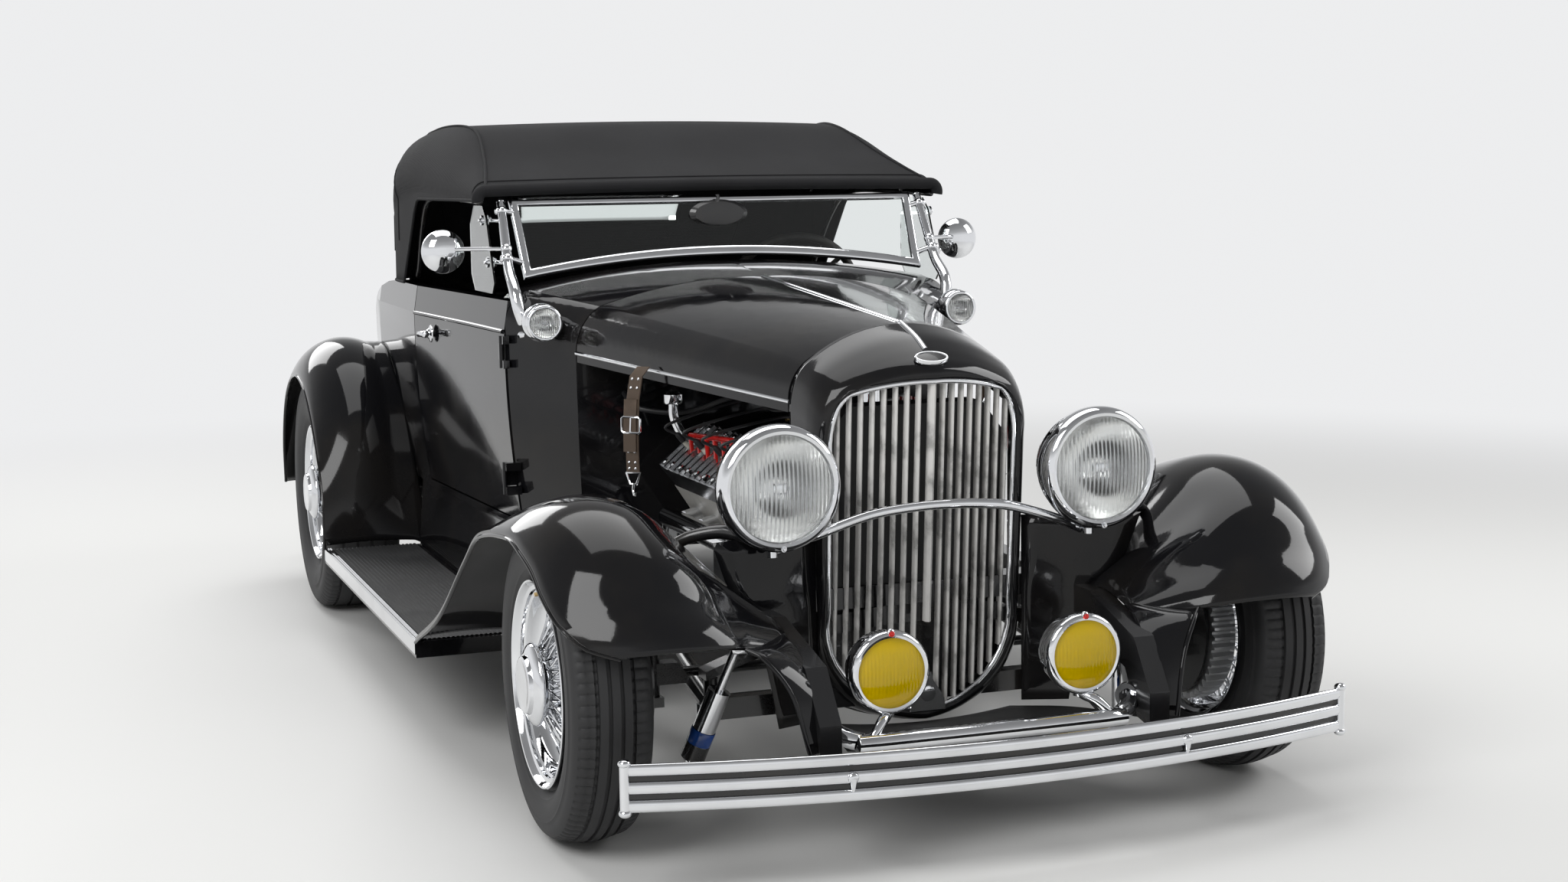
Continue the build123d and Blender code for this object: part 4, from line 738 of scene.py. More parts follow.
softTop = {
    "columns": ("station", "sideX", "sideZ", "cornerX", "cornerZ", "roofX", "roofZ", "crown"),
    "rows": [
        (1.288, 0.628, 1.268, 0.622, 1.290, 0.606, 1.296, 1.303),
        (1.500, 0.636, 1.274, 0.616, 1.338, 0.560, 1.368, 1.377),
        (1.738, 0.646, 1.280, 0.618, 1.390, 0.530, 1.447, 1.462),
        (2.090, 0.648, 1.282, 0.636, 1.404, 0.566, 1.455, 1.468),
        (2.250, 0.648, 1.268, 0.634, 1.386, 0.566, 1.430, 1.440),
        (2.370, 0.642, 1.220, 0.616, 1.318, 0.542, 1.352, 1.360),
        (2.440, 0.624, 1.150, 0.584, 1.216, 0.486, 1.240, 1.246),
        (2.495, 0.598, 1.078, 0.556, 1.116, 0.460, 1.126, 1.130),
        (2.530, 0.570, 1.036, 0.530, 1.042, 0.440, 1.044, 1.046),
        (2.548, 0.566, 1.004, 0.526, 1.005, 0.436, 1.006, 1.008),
    ],
    "edge": [(1.288, 1.266), (1.965, 1.266), (2.010, 1.236), (2.205, 1.024), (2.530, 1.024), (2.548, 0.998)],
    "skirt": 8, "shoulder": 12, "roof": 18, "between": 7, "sheet": 0.0025, "measured": 24,
    "sag": 0.006, "bowPitch": 0.45, "sagHalf": 0.56, "lastBow": 2.0, "rearSag": 0.25,
    "window": dict(half=0.296, low=1.152, high=1.270, station=2.3), "binding": 0.009, "welt": 0.004,
    "roll": 0.0155, "rollSeam": 0.0026, "hem": 0.0042, "seam": 0.0032, "seams": (2.262, 2.40),
    "bows": (1.50, 1.88, 2.24), "bow": 0.009, "iron": 0.0075,
    "irons": [(0.618, 1.30, 1.262), (0.622, 1.60, 1.268), (0.624, 1.92, 1.262), (0.620, 2.06, 1.190),
              (0.612, 2.19, 1.040)],
}


def along(table, station):
    # a value read between the entries of a short table
    for (a, low), (b, high) in zip(table, table[1:]):
        if station <= b:
            return low + (high - low) * max(station - a, 0) / (b - a)
    return table[-1][1]


def topRow(section):
    part = dict(zip(softTop["columns"], section))
    side, corner, roof = ((part[name + "X"], part[name + "Z"]) for name in ("side", "corner", "roof"))
    shoulder = arc(side, corner, roof, softTop["shoulder"])
    crown = (0, part["crown"])
    halfWay = (roof[0] / 2, crown[1] - (crown[1] - roof[1]) * 0.25)
    line = shoulder + arc(roof, halfWay, crown, softTop["roof"] // 2) + [crown]
    left = [spot(x, part["station"], z) for x, z in line]
    return left + [acrossFrom(point) for point in reversed(left[:-1])]


topRows = []
for row in easeRows([topRow(section) for section in softTop["rows"]], softTop["between"]):
    station = row[0].y - frontAxle.y
    low = min(along(softTop["edge"], station), row[0].z)
    slack = softTop["sag"] * (1.0 if station < softTop["lastBow"] else softTop["rearSag"])
    sag = slack * abs(math.sin(math.pi * (station - softTop["rows"][0][0]) / softTop["bowPitch"]))
    row = [point - Vector((0, 0, sag * max(0, 1 - (point.x / softTop["sagHalf"]) ** 2))) for point in row]
    first = row[0]
    skirt = [first + (Vector((first.x + 0.002, first.y, low)) - first) * (1 - step / softTop["skirt"])
             for step in range(softTop["skirt"])]
    topRows.append(skirt + row + [acrossFrom(point) for point in reversed(skirt)])

window = softTop["window"]


def inRearWindow(rowNumber, columnNumber):
    corners = [topRows[r][c] for r in (rowNumber, rowNumber + 1) for c in (columnNumber, columnNumber + 1)]
    inside = [abs(p.x) < window["half"] and window["low"] < p.z < window["high"] for p in corners]
    return all(inside) and corners[0].y - frontAxle.y > window["station"]


top = Shape().use(canvas)
top.skin(topRows, skip=inRearWindow)
canopy = top.make("soft_top_canvas", "chassis", "canvas", sharp=180)
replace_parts(canopy, "soft_top")
# the flat sheet: longest row across, a line near the middle along
middleLine = [row[softTop["measured"]] for row in topRows]
length = sum((a - b).length for a, b in zip(middleLine, middleLine[1:]))
width = max(sum((a - b).length for a, b in zip(row, row[1:])) for row in topRows)
thicken(canopy, softTop["sheet"])

# Lamps

lamp = {
    "headlight": dict(centre=(0.355, -0.168, 0.707), radius=0.124, lens=0.1072, bulge=0.020, flute=0.0092,
                      deep=0.075),
    "fog": dict(centre=(0.209, -0.371, 0.366), radius=0.080, lens=0.0680, bulge=0.013, flute=0.0074,
                deep=0.046),
    "cowl": dict(centre=(0.546, 0.955, 0.974), radius=0.043, lens=0.0358, bulge=0.009, flute=0.0054,
                 deep=0.026),
    "fluteDepth": 0.0012, "prismDepth": 0.0008, "glassDepth": 0.004, "glassEdge": 0.0012, "setBack": 0.002,
    "rows": 30, "columnsPerFlute": 6, "fullRadius": 0.124, "plainFrom": 0.94,
    "band": (-0.55, 0.62), "faint": 0.35, "prism": 0.17,  # flutes are full in the band and faint outside it
    # profiles hold (distance ahead, radius), for a lamp of the full radius
    "bulbShade": [(-0.45, 0.0), (-0.43, 0.011), (-0.40, 0.012), (-0.36, 0.009), (-0.34, 0)],
    "headlightBowl": [(-0.028, 0.99), (-0.050, 0.975), (-0.080, 0.90), (-0.108, 0.76), (-0.130, 0.56),
                      (-0.144, 0.32), (-0.150, 0.12), (-0.151, 0)],
    "fogBowl": [(-0.020, 0.99), (-0.040, 0.97), (-0.062, 0.88), (-0.080, 0.70), (-0.091, 0.45),
                (-0.096, 0.2), (-0.097, 0)],
}


def makeLens(shape, centre, size):
    # a domed glass with upright flutes inside it
    reach = size["lens"]
    columns = int(reach * 2 / size["flute"] * lamp["columnsPerFlute"])
    rows = lamp["rows"]

    def glassPoint(share, up, front):
        x = reach * share
        z = math.sqrt(max(reach * reach - x * x, 0)) * up
        away = (x * x + z * z) / (reach * reach)
        depth = size["bulge"] * (1 - away)
        inRing = 1 if away < lamp["plainFrom"] else 0
        bandLow, bandHigh = lamp["band"]
        band = 1.0 if bandLow * reach < z < bandHigh * reach else lamp["faint"]
        flute = lamp["fluteDepth"] * math.cos(math.tau * x / size["flute"]) * inRing * band
        if front:
            depth += flute * lamp["faint"]
        else:
            wave = math.cos(math.tau * z / (reach * lamp["prism"]))
            prism = lamp["prismDepth"] * wave * inRing * (band < 1)
            depth += flute + prism - lamp["glassDepth"] * (1 - away) - lamp["glassEdge"]
        return centre + Vector((x, -depth - lamp["setBack"], z))

    for front in (True, False):
        grid = []
        for column in range(columns + 1):
            share = math.sin(math.pi * (column / columns - 0.5))
            grid.append([glassPoint(share, row / rows * 2 - 1, front) for row in range(rows + 1)])
        shape.skin(grid)


def makeLampFront(shape, centre, size):
    # the plated ring, the reflector and the bulb
    place = facing(centre, forward)
    radius, lens, deep = size["radius"], size["lens"], size["deep"]
    unit = radius / lamp["fullRadius"]
    ring = [
        (-0.034 * unit, radius + 0.0005), (-0.030 * unit, radius + 0.003 * unit),
        (-0.018 * unit, radius + 0.004 * unit), (-0.002 * unit, radius + 0.0035 * unit),
        (0.007 * unit, radius), (0.0115 * unit, radius - 0.006 * unit), (0.0128 * unit, (radius + lens) / 2),
        (0.0105 * unit, lens + 0.002 * unit), (0.006 * unit, lens), (0.0, lens - 0.001),
        (-0.006 * unit, lens - 0.001), (-0.006 * unit, radius - 0.002),
    ]
    shape.use(chrome).turn(ring, place, 96)
    steps = [step / 14 for step in range(15)]
    dish = [(-0.004 - deep * (1 - share * share), lens * share) for share in steps]
    shape.use(reflector).turn(dish, place, 72)
    shape.use(chrome).ball(place @ Vector((0, 0, -deep * 0.62)), 0.010 * unit, 1.0, forward)
    shape.turn([(deep * ahead, reach * unit) for ahead, reach in lamp["bulbShade"]], place, 32)


lampKinds = [  # kind, glass, its slot, the lens it stands for
    ("headlight", lensGlass, "clear_glass", "headlight_lenses"),
    ("fog", amberGlass, "amber_glass", "fog_lenses"),
    ("cowl", lensGlass, "clear_glass", None),
]
for kind, glassFinish, slot, lensNode in lampKinds:
    size = lamp[kind]
    glassShape = Shape().use(glassFinish)
    fronts = Shape()
    for side in sides:
        centre = pointOn(size["centre"], side)
        makeLens(glassShape, centre, size)
        makeLampFront(fronts, centre, size)
        if kind == "headlight":
            fronts.use(chrome).hexBolt(centre + Vector((0, -0.012, -0.119)), forward, 0.0045, 0.008)
        if kind == "fog":
            fronts.use(redGlass).ball(centre + Vector((0, -0.008, 0.0775)), 0.0062, 0.8, forward)
            fronts.use(chrome).ball(centre + Vector((0, -0.002, 0.0785)), 0.0085, 0.8, forward)
    lenses = glassShape.make(kind + "_glasses", "chassis", slot, sharp=60)
    if lensNode:
        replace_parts(lenses, lensNode)
    fronts.make(kind + "_rings", "chassis", "chrome")

# Headlight bowls, the cross bar, black brackets from the fenders, and the front shocks' trim

stand = {
    "bar": [(0.345, -0.092, 0.570), (0.262, -0.128, 0.604), (0.160, -0.140, 0.636), (0.080, -0.1445, 0.647),
            (0.000, -0.146, 0.650)],
    "bracket": [(0.355, -0.110, 0.592), (0.400, -0.092, 0.603), (0.450, -0.068, 0.613),
                (0.500, -0.044, 0.604), (0.532, -0.026, 0.588)],
    "barRadius": 0.0105, "bracketRadius": (0.017, 0.012), "pad": (0.062, 0.040, 0.019), "padBolt": 0.020,
    "boss": [(0.0, 0.0), (0.0, 0.021), (0.016, 0.021), (0.020, 0.017), (0.024, 0.011), (0.036, 0.011),
             (0.038, 0)],
    "bossFrom": (0, 0.058, -0.110),  # from the lamp's centre
}
shock = {
    "top": (0.431, -0.110, 0.388), "foot": (0.512, -0.050, 0.150), "eyeTurn": 0.3,
    "bandUp": 0.066, "cupUp": 0.034,
    "band": [(0, 0.0252), (0.001, 0.0258), (0.030, 0.0258), (0.031, 0.0252)],
    "cup": [(0, 0.0), (0, 0.0255), (0.034, 0.0255), (0.040, 0.018), (0.040, 0)],
    "eye": [(-0.016, 0), (-0.016, 0.014), (0.016, 0.014), (0.016, 0)],
}

heads = Shape().use(chrome)
heads.tube(onSide(stand["bar"][:-1]) + onSide(reversed(stand["bar"]), -1), stand["barRadius"], 16)
for side in sides:
    centre = pointOn(lamp["headlight"]["centre"], side)
    radius = lamp["headlight"]["radius"]
    bowl = [(ahead, radius * share) for ahead, share in lamp["headlightBowl"]]
    heads.cap(bowl, centre, forward, 96)
    heads.cap(stand["boss"], centre + Vector(stand["bossFrom"]), -upward)
    bracket = onSide(stand["bracket"], side)
    heads.use(chassisPaint).tube(bracket, stand["bracketRadius"], 18)
    pad = facing(bracket[-1] + Vector((0.004 * side, 0, -0.006)), (-0.55 * side, -0.25, 1))
    heads.plate(roundedOutline(*stand["pad"]), 0.006, pad)
    heads.use(chrome)
    for shift in (-stand["padBolt"], stand["padBolt"]):
        heads.hexBolt(pad @ Vector((shift, 0, 0.006)), pad.to_3x3() @ Vector((0, 0, 1)), 0.006, 0.006)
for side in sides:
    high, low = onSide((shock["top"], shock["foot"]), side)
    down = (low - high).normalized()
    heads.use(blueEnamel).cap(shock["band"], low - down * shock["bandUp"], down)
    heads.use(chassisPaint).cap(shock["cup"], low - down * shock["cupUp"], down)
    heads.use(chrome)
    across = (shock["eyeTurn"] * side, -1, 0)
    for end in (high, low):
        heads.cap(shock["eye"], end, across, 20)
        heads.hexBolt(end + Vector((0.005 * side, -0.016, 0)), across, 0.010, 0.008)
headSkin = heads.make("headlight_bowls", "chassis", "chrome", sharp=50)
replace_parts(headSkin, "headlights")

# Fog lamps on their arms, and the spreader bar that carries them

fogArm = {
    "line": [(0.209, -0.352, 0.290), (0.215, -0.362, 0.281), (0.232, -0.380, 0.272), (0.250, -0.391, 0.254),
             (0.264, -0.392, 0.236)],
    "radius": (0.0125, 0.0085), "wire": 0.0032,
    "collar": [(-0.012, 0.0), (-0.012, 0.014), (0.006, 0.0165), (0.014, 0.012), (0.014, 0)],
    "foot": [(-0.005, 0.0), (-0.005, 0.017), (0.004, 0.017), (0.007, 0.012), (0.007, 0)],
}
spreader = {
    "line": [(0.326, -0.338, 0.262), (0.310, -0.366, 0.250), (0.280, -0.387, 0.240), (0.240, -0.395, 0.236)],
    "radius": 0.0185, "end": [(-0.006, 0), (-0.006, 0.027), (0.004, 0.029), (0.010, 0.026), (0.010, 0)],
}
fogs = Shape().use(chrome)
for side in sides:
    radius = lamp["fog"]["radius"]
    bowl = [(ahead, radius * share) for ahead, share in lamp["fogBowl"]]
    fogs.cap(bowl, pointOn(lamp["fog"]["centre"], side), forward, 72)
    line = onSide(fogArm["line"], side)
    fogs.tube(line, fogArm["radius"], 16)
    fogs.cap(fogArm["collar"], line[0], upward, 24)
    fogs.cap(fogArm["foot"], line[-1], upward, 24)
    fogs.hexBolt(line[-1] + Vector((0.012 * side, -0.004, 0.007)), upward, 0.006, 0.008)
    wire = [line[0] + Vector((0, 0.02, 0)), line[2] + Vector((0, 0.016, -0.012)),
            line[4] + Vector((-0.01 * side, 0.012, -0.01))]
    fogs.use(hoseRubber).tube(wire, fogArm["wire"], 8)
    fogs.use(chrome)
fogSkin = fogs.make("fog_bodies", "chassis", "chrome", sharp=50)
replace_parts(fogSkin, "fog_lights")
bar = Shape().use(chrome)
bar.tube(onSide(spreader["line"], -1) + onSide(reversed(spreader["line"]), 1), spreader["radius"], 24, 3)
for side in sides:
    bar.cap(spreader["end"], pointOn(spreader["line"][0], side), (side, 0.6, 0))
barSkin = bar.make("spreader_bar_tube", "chassis", "chrome", sharp=50)
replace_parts(barSkin, "spreader_bar")
print("lamps made")

# Bumpers: three plated ribs on a dark bar

bumper = {
    "bend": 2.634, "half": 0.770, "z": 0.214, "rib": 0.0236, "gap": 0.0103, "proud": 0.0075, "back": 0.006,
    "bolts": 0.352, "front": (-0.556, -1), "rear": (3.648, 1),  # station of the face, and which way it looks
    "bolt": [(0, 0.011), (0.003, 0.0108), (0.0065, 0.008), (0.008, 0.004), (0.0085, 0)],
}


def makeBumper(name, node, face, way):
    def onBow(x, out, z):
        # a point on the bow, set out from its face
        drop = bumper["bend"] - math.sqrt(bumper["bend"] ** 2 - x * x)
        return spot(x, face - way * drop + way * (out - bumper["proud"]), z)

    shape = Shape()
    xs = [bumper["half"] * (step / 40 * 2 - 1) for step in range(41)]
    for number in (-1, 0, 1):
        z = bumper["z"] + number * (bumper["rib"] + bumper["gap"])
        half = bumper["rib"] / 2
        turns = [math.pi * (step / 10 - 0.5) for step in range(1, 10)]
        section = [(bumper["proud"] * math.cos(t) ** 0.7, half * math.sin(t)) for t in turns]
        section = [(0.0, -half)] + section + [(0.0, half), (-0.002, half * 0.9), (-0.002, -half * 0.9)]
        shape.use(chrome).skin([[onBow(x, out, z + up) for out, up in section] for x in xs], around=True)
    tall = 1.5 * bumper["rib"] + bumper["gap"] - 0.002
    corners = [(-0.001, -tall), (-0.001, tall), (-bumper["back"], tall), (-bumper["back"], -tall)]
    shape.use(chassisPaint)
    shape.skin([[onBow(x, out, bumper["z"] + up) for out, up in corners] for x in xs], around=True)
    shape.use(chrome)
    for side in (-1, 1):
        end = onBow(side * (bumper["half"] - 0.006), 0.001, bumper["z"])
        shape.tube([end - Vector((0, 0, tall + 0.003)), end + Vector((0, 0, tall + 0.003))], 0.0095, 20, 1)
        for up in (-1, 1):
            shape.ball(end + Vector((0, 0, up * (tall + 0.003))), 0.0125, 0.7, (0, 0, up))
        bolt = onBow(side * bumper["bolts"], bumper["proud"] * 0.8, bumper["z"])
        shape.cap(bumper["bolt"], bolt, (0, way, 0))
        tail = [bolt + Vector((0, 0.001 * way, 0)), bolt - Vector((0, 0, 0.026))]
        shape.tube(tail, (0.009, 0.0025), 14, 4)
    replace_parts(shape.make(name, "chassis", "chrome", sharp=60), node)


for end in ("front", "rear"):
    makeBumper(end + "_bumper_ribs", end + "_bumper", *bumper[end])
print("bumpers made")

# Beads along the hood and doors

trim = {
    "belt": [(0.250, 0.062, 0.853), (0.3255, 0.350, 0.8693), (0.402, 0.640, 0.8857),
             (0.4777, 0.925, 0.9018)],
    "body": [(0.6045, 1.150, 0.944), (0.6225, 1.50, 0.945), (0.6405, 1.80, 0.945), (0.6545, 2.039, 0.945)],
    "hoodBead": 0.0048, "bodyBead": 0.0058,
}
for sideName, side in leftRight:
    bead = Shape().use(chrome).tube(onSide(trim["belt"], side), trim["hoodBead"], 12)
    bead.make(sideName + "_hood_bead", sideName + "_hood", "chrome")
    bead = Shape().use(bodyPaint).tube(onSide(trim["body"], side), trim["bodyBead"], 12)
    bead.make(sideName + "_door_bead", sideName + "_door", "body_paint")
print("beads made")

# Running boards: ribbed mats and a bright edge

board = {
    "inner": 0.640, "outer": 0.886, "front": 0.850, "rear": 2.222, "top": 0.250,
    "ribs": 22, "rib": 0.0032, "valley": 0.0012, "edgeFront": 0.838, "edgeRear": 2.225,
    "edge": [(0.886, 0.0), (0.886, 0.0055), (0.889, 0.0062), (0.892, 0.004), (0.895, 0.0062), (0.898, 0.004),
             (0.901, 0.0055), (0.9062, 0.003), (0.9066, -0.010), (0.9066, -0.030), (0.904, -0.031)],
}
mats = Shape()
for side in sides:
    mats.use(matRubber)
    width = (board["outer"] - board["inner"]) / board["ribs"]
    section = [(board["inner"], 0.0)]
    ribShape = ((0.08, board["valley"]), (0.22, board["rib"]), (0.72, board["rib"]), (0.86, board["valley"]))
    for number in range(board["ribs"]):
        x = board["inner"] + number * width
        section += [(x + width * share, height) for share, height in ribShape]
    section += [(board["outer"], board["valley"]), (board["outer"], 0.0)]
    ends = [board["front"], board["front"] + 0.004, board["rear"] - 0.004, board["rear"]]
    mats.skin([[spot(x * side, s, board["top"] + z + 0.0004) for x, z in section] for s in ends])
    mats.use(chrome)
    ends = (board["edgeFront"], board["edgeRear"])
    mats.skin([[spot(x * side, s, board["top"] + z) for x, z in board["edge"]] for s in ends])
mats.make("running_board_mats", "chassis", "mat_rubber", sharp=25)
print("running boards dressed")

# Mirrors: one on each windshield post, and an oval one inside

mirror = {
    "outside": (0.710, 1.330, 1.139), "inside": (0.0, 1.262, 1.222), "oval": 2.2,
    "dome": [(-0.012, 0.050), (-0.010, 0.0545), (-0.004, 0.0555), (0.004, 0.0535), (0.014, 0.046),
             (0.022, 0.034), (0.027, 0.018), (0.0285, 0.0)],
    "glass": [(-0.012, 0.050), (-0.011, 0.047), (-0.011, 0.0)],
    "case": [(-0.008, 0.0), (-0.008, 0.033), (0.0, 0.036), (0.010, 0.030), (0.014, 0.0)],
}
fittings = Shape().use(chrome)
for side in sides:
    centre = pointOn(mirror["outside"], side)
    fittings.cap(mirror["dome"], centre, forward, 64)
    fittings.cap(mirror["glass"], centre, forward, 64)
inside = spot(*mirror["inside"])
flat = Matrix.Translation(inside) @ Matrix.Diagonal((mirror["oval"], 1, 1, 1)) @ facing((0, 0, 0), forward)
fittings.use(chassisPaint).turn(mirror["case"], flat, 48)
fittings.tube([inside + Vector((0, 0, 0.02)), inside + Vector((0, 0.004, 0.048))], 0.005, 10, 1)
fittings.make("mirrors", "chassis", "chrome")

# Windshield: the plated band, and posts that carry it, the wings and the mirrors

windshield = {
    "low": (1.189, 1.070), "top": (1.293, 1.264),  # station and height of the band's foot and head
    "halfLow": 0.537, "halfTop": 0.548, "side": 0.021, "foot": 0.115, "head": 0.925, "arch": 0.236,
    "normal": (0, -0.8812, 0.4727),
    "section": [(0, -0.005), (0, 0.0055), (0.07, 0.0080), (0.30, 0.0088), (0.70, 0.0088), (0.93, 0.0080),
                (1, 0.0055), (1, -0.005)],
    "post": [(0.552, 1.106, 0.946), (0.572, 1.104, 1.000), (0.578, 1.124, 1.048), (0.577, 1.184, 1.096),
             (0.574, 1.230, 1.169), (0.569, 1.288, 1.262)],
    "postRadius": (0.0175, 0.0105), "clamps": ((1.252, 1.112), (1.304, 1.216)), "wing": 0.603,
    "pivots": (0.16, 0.86), "mirrorPivot": 0.30, "tip": 0.0112, "pivotArm": (0.0085, 0.0072),
    "pivotBall": 0.0135, "clampArm": (0.0062, 0.0055), "washers": (-0.0065, 0.0115), "nut": 0.0145,
    "mirrorArm": 0.0055, "mirrorBall": 0.0142,
    "flange": [(-0.010, 0.030), (-0.003, 0.030), (0.003, 0.026), (0.008, 0.019), (0.016, 0.0165)],
    "pivotCap": [(0.009, 0.0095), (0.015, 0.0095), (0.018, 0.006), (0.019, 0)],
    "washer": [(-0.003, 0.0), (-0.003, 0.013), (0.003, 0.013), (0.003, 0)],
    "mirrorHold": [(-0.014, 0.0), (-0.014, 0.016), (-0.004, 0.020), (0.0, 0.02)],
}


def onWindshield(x, share):
    # a point in the leaning plane of the windshield
    low, top = windshield["low"], windshield["top"]
    return spot(x, low[0] + (top[0] - low[0]) * share, low[1] + (top[1] - low[1]) * share)


halfLow, halfTop = windshield["halfLow"], windshield["halfTop"]


def bandLoop(inset, low, top):
    # once round the frame, set in at the sides, the foot and the top
    def edge(share):
        return halfLow - inset + (halfTop - halfLow) * share

    loop = []
    for step in range(32):
        share = step / 16 - 1
        loop.append(onWindshield(edge(low) * share, low + windshield["arch"] * (1 - share * share)))
    rise = [low + (top - low) * step / 8 for step in range(8)]
    fall = [top + (low - top) * step / 8 for step in range(8)]
    loop += [onWindshield(edge(share), share) for share in rise]
    loop += [onWindshield(edge(top) * (1 - step / 8), top) for step in range(16)]
    loop += [onWindshield(-edge(share), share) for share in fall]
    return loop


screen = Shape().use(chrome)
normal = Vector(windshield["normal"])
outer, inner = bandLoop(0, 0, 1), bandLoop(windshield["side"], windshield["foot"], windshield["head"])
rows = [[a + (b - a) * share + normal * out for share, out in windshield["section"]]
        for a, b in zip(outer, inner)]
screen.skin(rows, around=True, along=True)
screenFrame = screen.make("windshield_surround", "chassis", "chrome", sharp=75)
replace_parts(screenFrame, "windshield_frame")

posts = Shape().use(chrome)
for side in sides:
    line = onSide(windshield["post"], side)
    posts.tube(line, windshield["postRadius"], 20)
    posts.ball(line[-1], windshield["tip"], 0.8)
    posts.cap(windshield["flange"], line[0] + Vector((0, 0, 0.004)), (0.35 * side, 0, 1))
    for share in windshield["pivots"]:
        joint = line[3] + (line[5] - line[3]) * share
        inner = onWindshield((halfLow - 0.008) * side, 0.05 + 0.9 * share)
        posts.tube([joint, inner], windshield["pivotArm"], 14, 1)
        posts.ball(joint, windshield["pivotBall"])
        posts.cap(windshield["pivotCap"], joint, (side, 0, 0), 20)
    for station, z in windshield["clamps"]:
        share = (z - line[3].z) / (line[5].z - line[3].z)
        joint = line[3] + (line[5] - line[3]) * share
        hold = spot((windshield["wing"] - 0.006) * side, station, z)
        posts.tube([joint, hold], windshield["clampArm"], 12, 1)
        for shift in windshield["washers"]:
            pad = spot((windshield["wing"] + shift) * side, station, z)
            posts.cap(windshield["washer"], pad, (side, 0, 0), 24)
        nut = spot((windshield["wing"] + windshield["nut"]) * side, station, z)
        posts.hexBolt(nut, (side, 0, 0), 0.005, 0.007)
    reach = pointOn(mirror["outside"], side)
    root = line[3] + (line[5] - line[3]) * windshield["mirrorPivot"]
    bend = root * 0.3 + reach * 0.7 + Vector((0, 0, 0.004))
    posts.tube([root, bend, reach + Vector((0, 0.008, 0))], windshield["mirrorArm"], 12)
    posts.ball(root, windshield["mirrorBall"])
    posts.cap(windshield["mirrorHold"], reach, forward, 24)
postSkin = posts.make("windshield_stanchions", "chassis", "chrome", sharp=50)
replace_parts(postSkin, "windshield_posts")

doorHandle = {
    "root": (0.650, 1.832, 0.898),
    "rose": [(0, 0.024), (0.003, 0.023), (0.006, 0.015), (0.012, 0.011), (0.020, 0.010)],
    "grip": [(0.672, 1.802, 0.899), (0.676, 1.832, 0.898), (0.675, 1.867, 0.896), (0.671, 1.902, 0.891)],
    "gripRadius": (0.0105, 0.0062), "tip": 0.0064,
}
for sideName, side in leftRight:
    handle = Shape().use(chrome)
    handle.cap(doorHandle["rose"], pointOn(doorHandle["root"], side), (side, 0, 0))
    grip = onSide(doorHandle["grip"], side)
    handle.tube(grip, doorHandle["gripRadius"], 16)
    handle.ball(grip[0], doorHandle["gripRadius"][0])
    handle.ball(grip[-1], doorHandle["tip"])
    handle.make(sideName + "_door_handle", sideName + "_door", "chrome")
print("mirrors and handles made")

# Hood straps

strap = {
    "turn": 0.75, "station": 0.585, "width": 0.034, "thick": 0.0045, "layers": 0.0056,
    "line": [(0.410, 0.893), (0.428, 0.872), (0.437, 0.820), (0.440, 0.760), (0.441, 0.700), (0.440, 0.652)],
    "section": ((-1, -0.94), (-1, 0.94), (-0.4, 1), (0.4, 1), (1, 0.94), (1, -0.94), (0.4, -1), (-0.4, -1)),
    "rivets": (0.866, 0.846, 0.806, 0.716, 0.700, 0.676, 0.662), "rivetHalf": 0.008, "rivet": 0.0036,
    "buckle": (0.440, 0.762), "buckleSize": (0.024, 0.018),
    "buckleLine": ((-1, -0.8), (-1, 0.8), (-0.8, 1), (0.8, 1), (1, 0.8), (1, -0.8), (0.8, -1), (-0.8, -1),
                   (-1, -0.8)),
    "ring": ((-0.018, 0), (0.018, 0), (0.008, -0.026), (-0.008, -0.026), (-0.018, 0)),
    "hook": (0.440, 0.652), "wires": (0.0028, 0.0022, 0.003),  # buckle, its pin, the hook
    "hookLine": ((0, -0.026), (0.004, -0.040), (-0.005, -0.052), (-0.009, -0.044)),
}
for sideName, side in leftRight:
    strapShape = Shape().use(strapLeather)
    wide, thick = strap["width"] / 2, strap["thick"] / 2
    out = Vector((math.cos(strap["turn"]) * side, -math.sin(strap["turn"]), 0))
    across = Vector((-out.y, out.x, 0))
    for line, shift in ((strap["line"], 0.0), (strap["line"][2:5], strap["layers"])):
        rows = []
        for x, z in line:
            centre = spot((x + shift) * side, strap["station"], z)
            offsets = [out * (a * side * thick) + across * (b * wide) for a, b in strap["section"]]
            rows.append([centre + offset for offset in offsets])
        strapShape.skin(rows, around=True)
    strapShape.use(chrome)
    for z in strap["rivets"]:
        x = along([(height, reach) for reach, height in reversed(strap["line"])], z)
        centre = spot(x * side, strap["station"], z) + out * 0.003
        for shift in (-strap["rivetHalf"], strap["rivetHalf"]):
            strapShape.ball(centre + across * shift, strap["rivet"], 0.6, out, 12)
    buckle = spot(strap["buckle"][0] * side, strap["station"], strap["buckle"][1]) + out * 0.006
    wide, tall = strap["buckleSize"]
    loop = [buckle + across * (a * wide) + upward * (b * tall) for a, b in strap["buckleLine"]]
    loopWire, pinWire, hookWire = strap["wires"]
    strapShape.tube(loop, loopWire, 8, 1)
    strapShape.tube([buckle + upward * tall, buckle + Vector((side * 0.002, 0, -0.016))], pinWire, 8, 1)
    hook = spot(strap["hook"][0] * side, strap["station"], strap["hook"][1])
    strapShape.tube([hook + across * a + Vector((0, 0, b)) for a, b in strap["ring"]], hookWire, 8, 1)
    strapShape.tube([hook + Vector((0, y, z)) for y, z in strap["hookLine"]], hookWire, 8)
    strapShape.make(sideName + "_hood_strap", sideName + "_hood", "seat_leather")
print("hood straps made")

# Seats: padded by a cloth simulation, then pleated

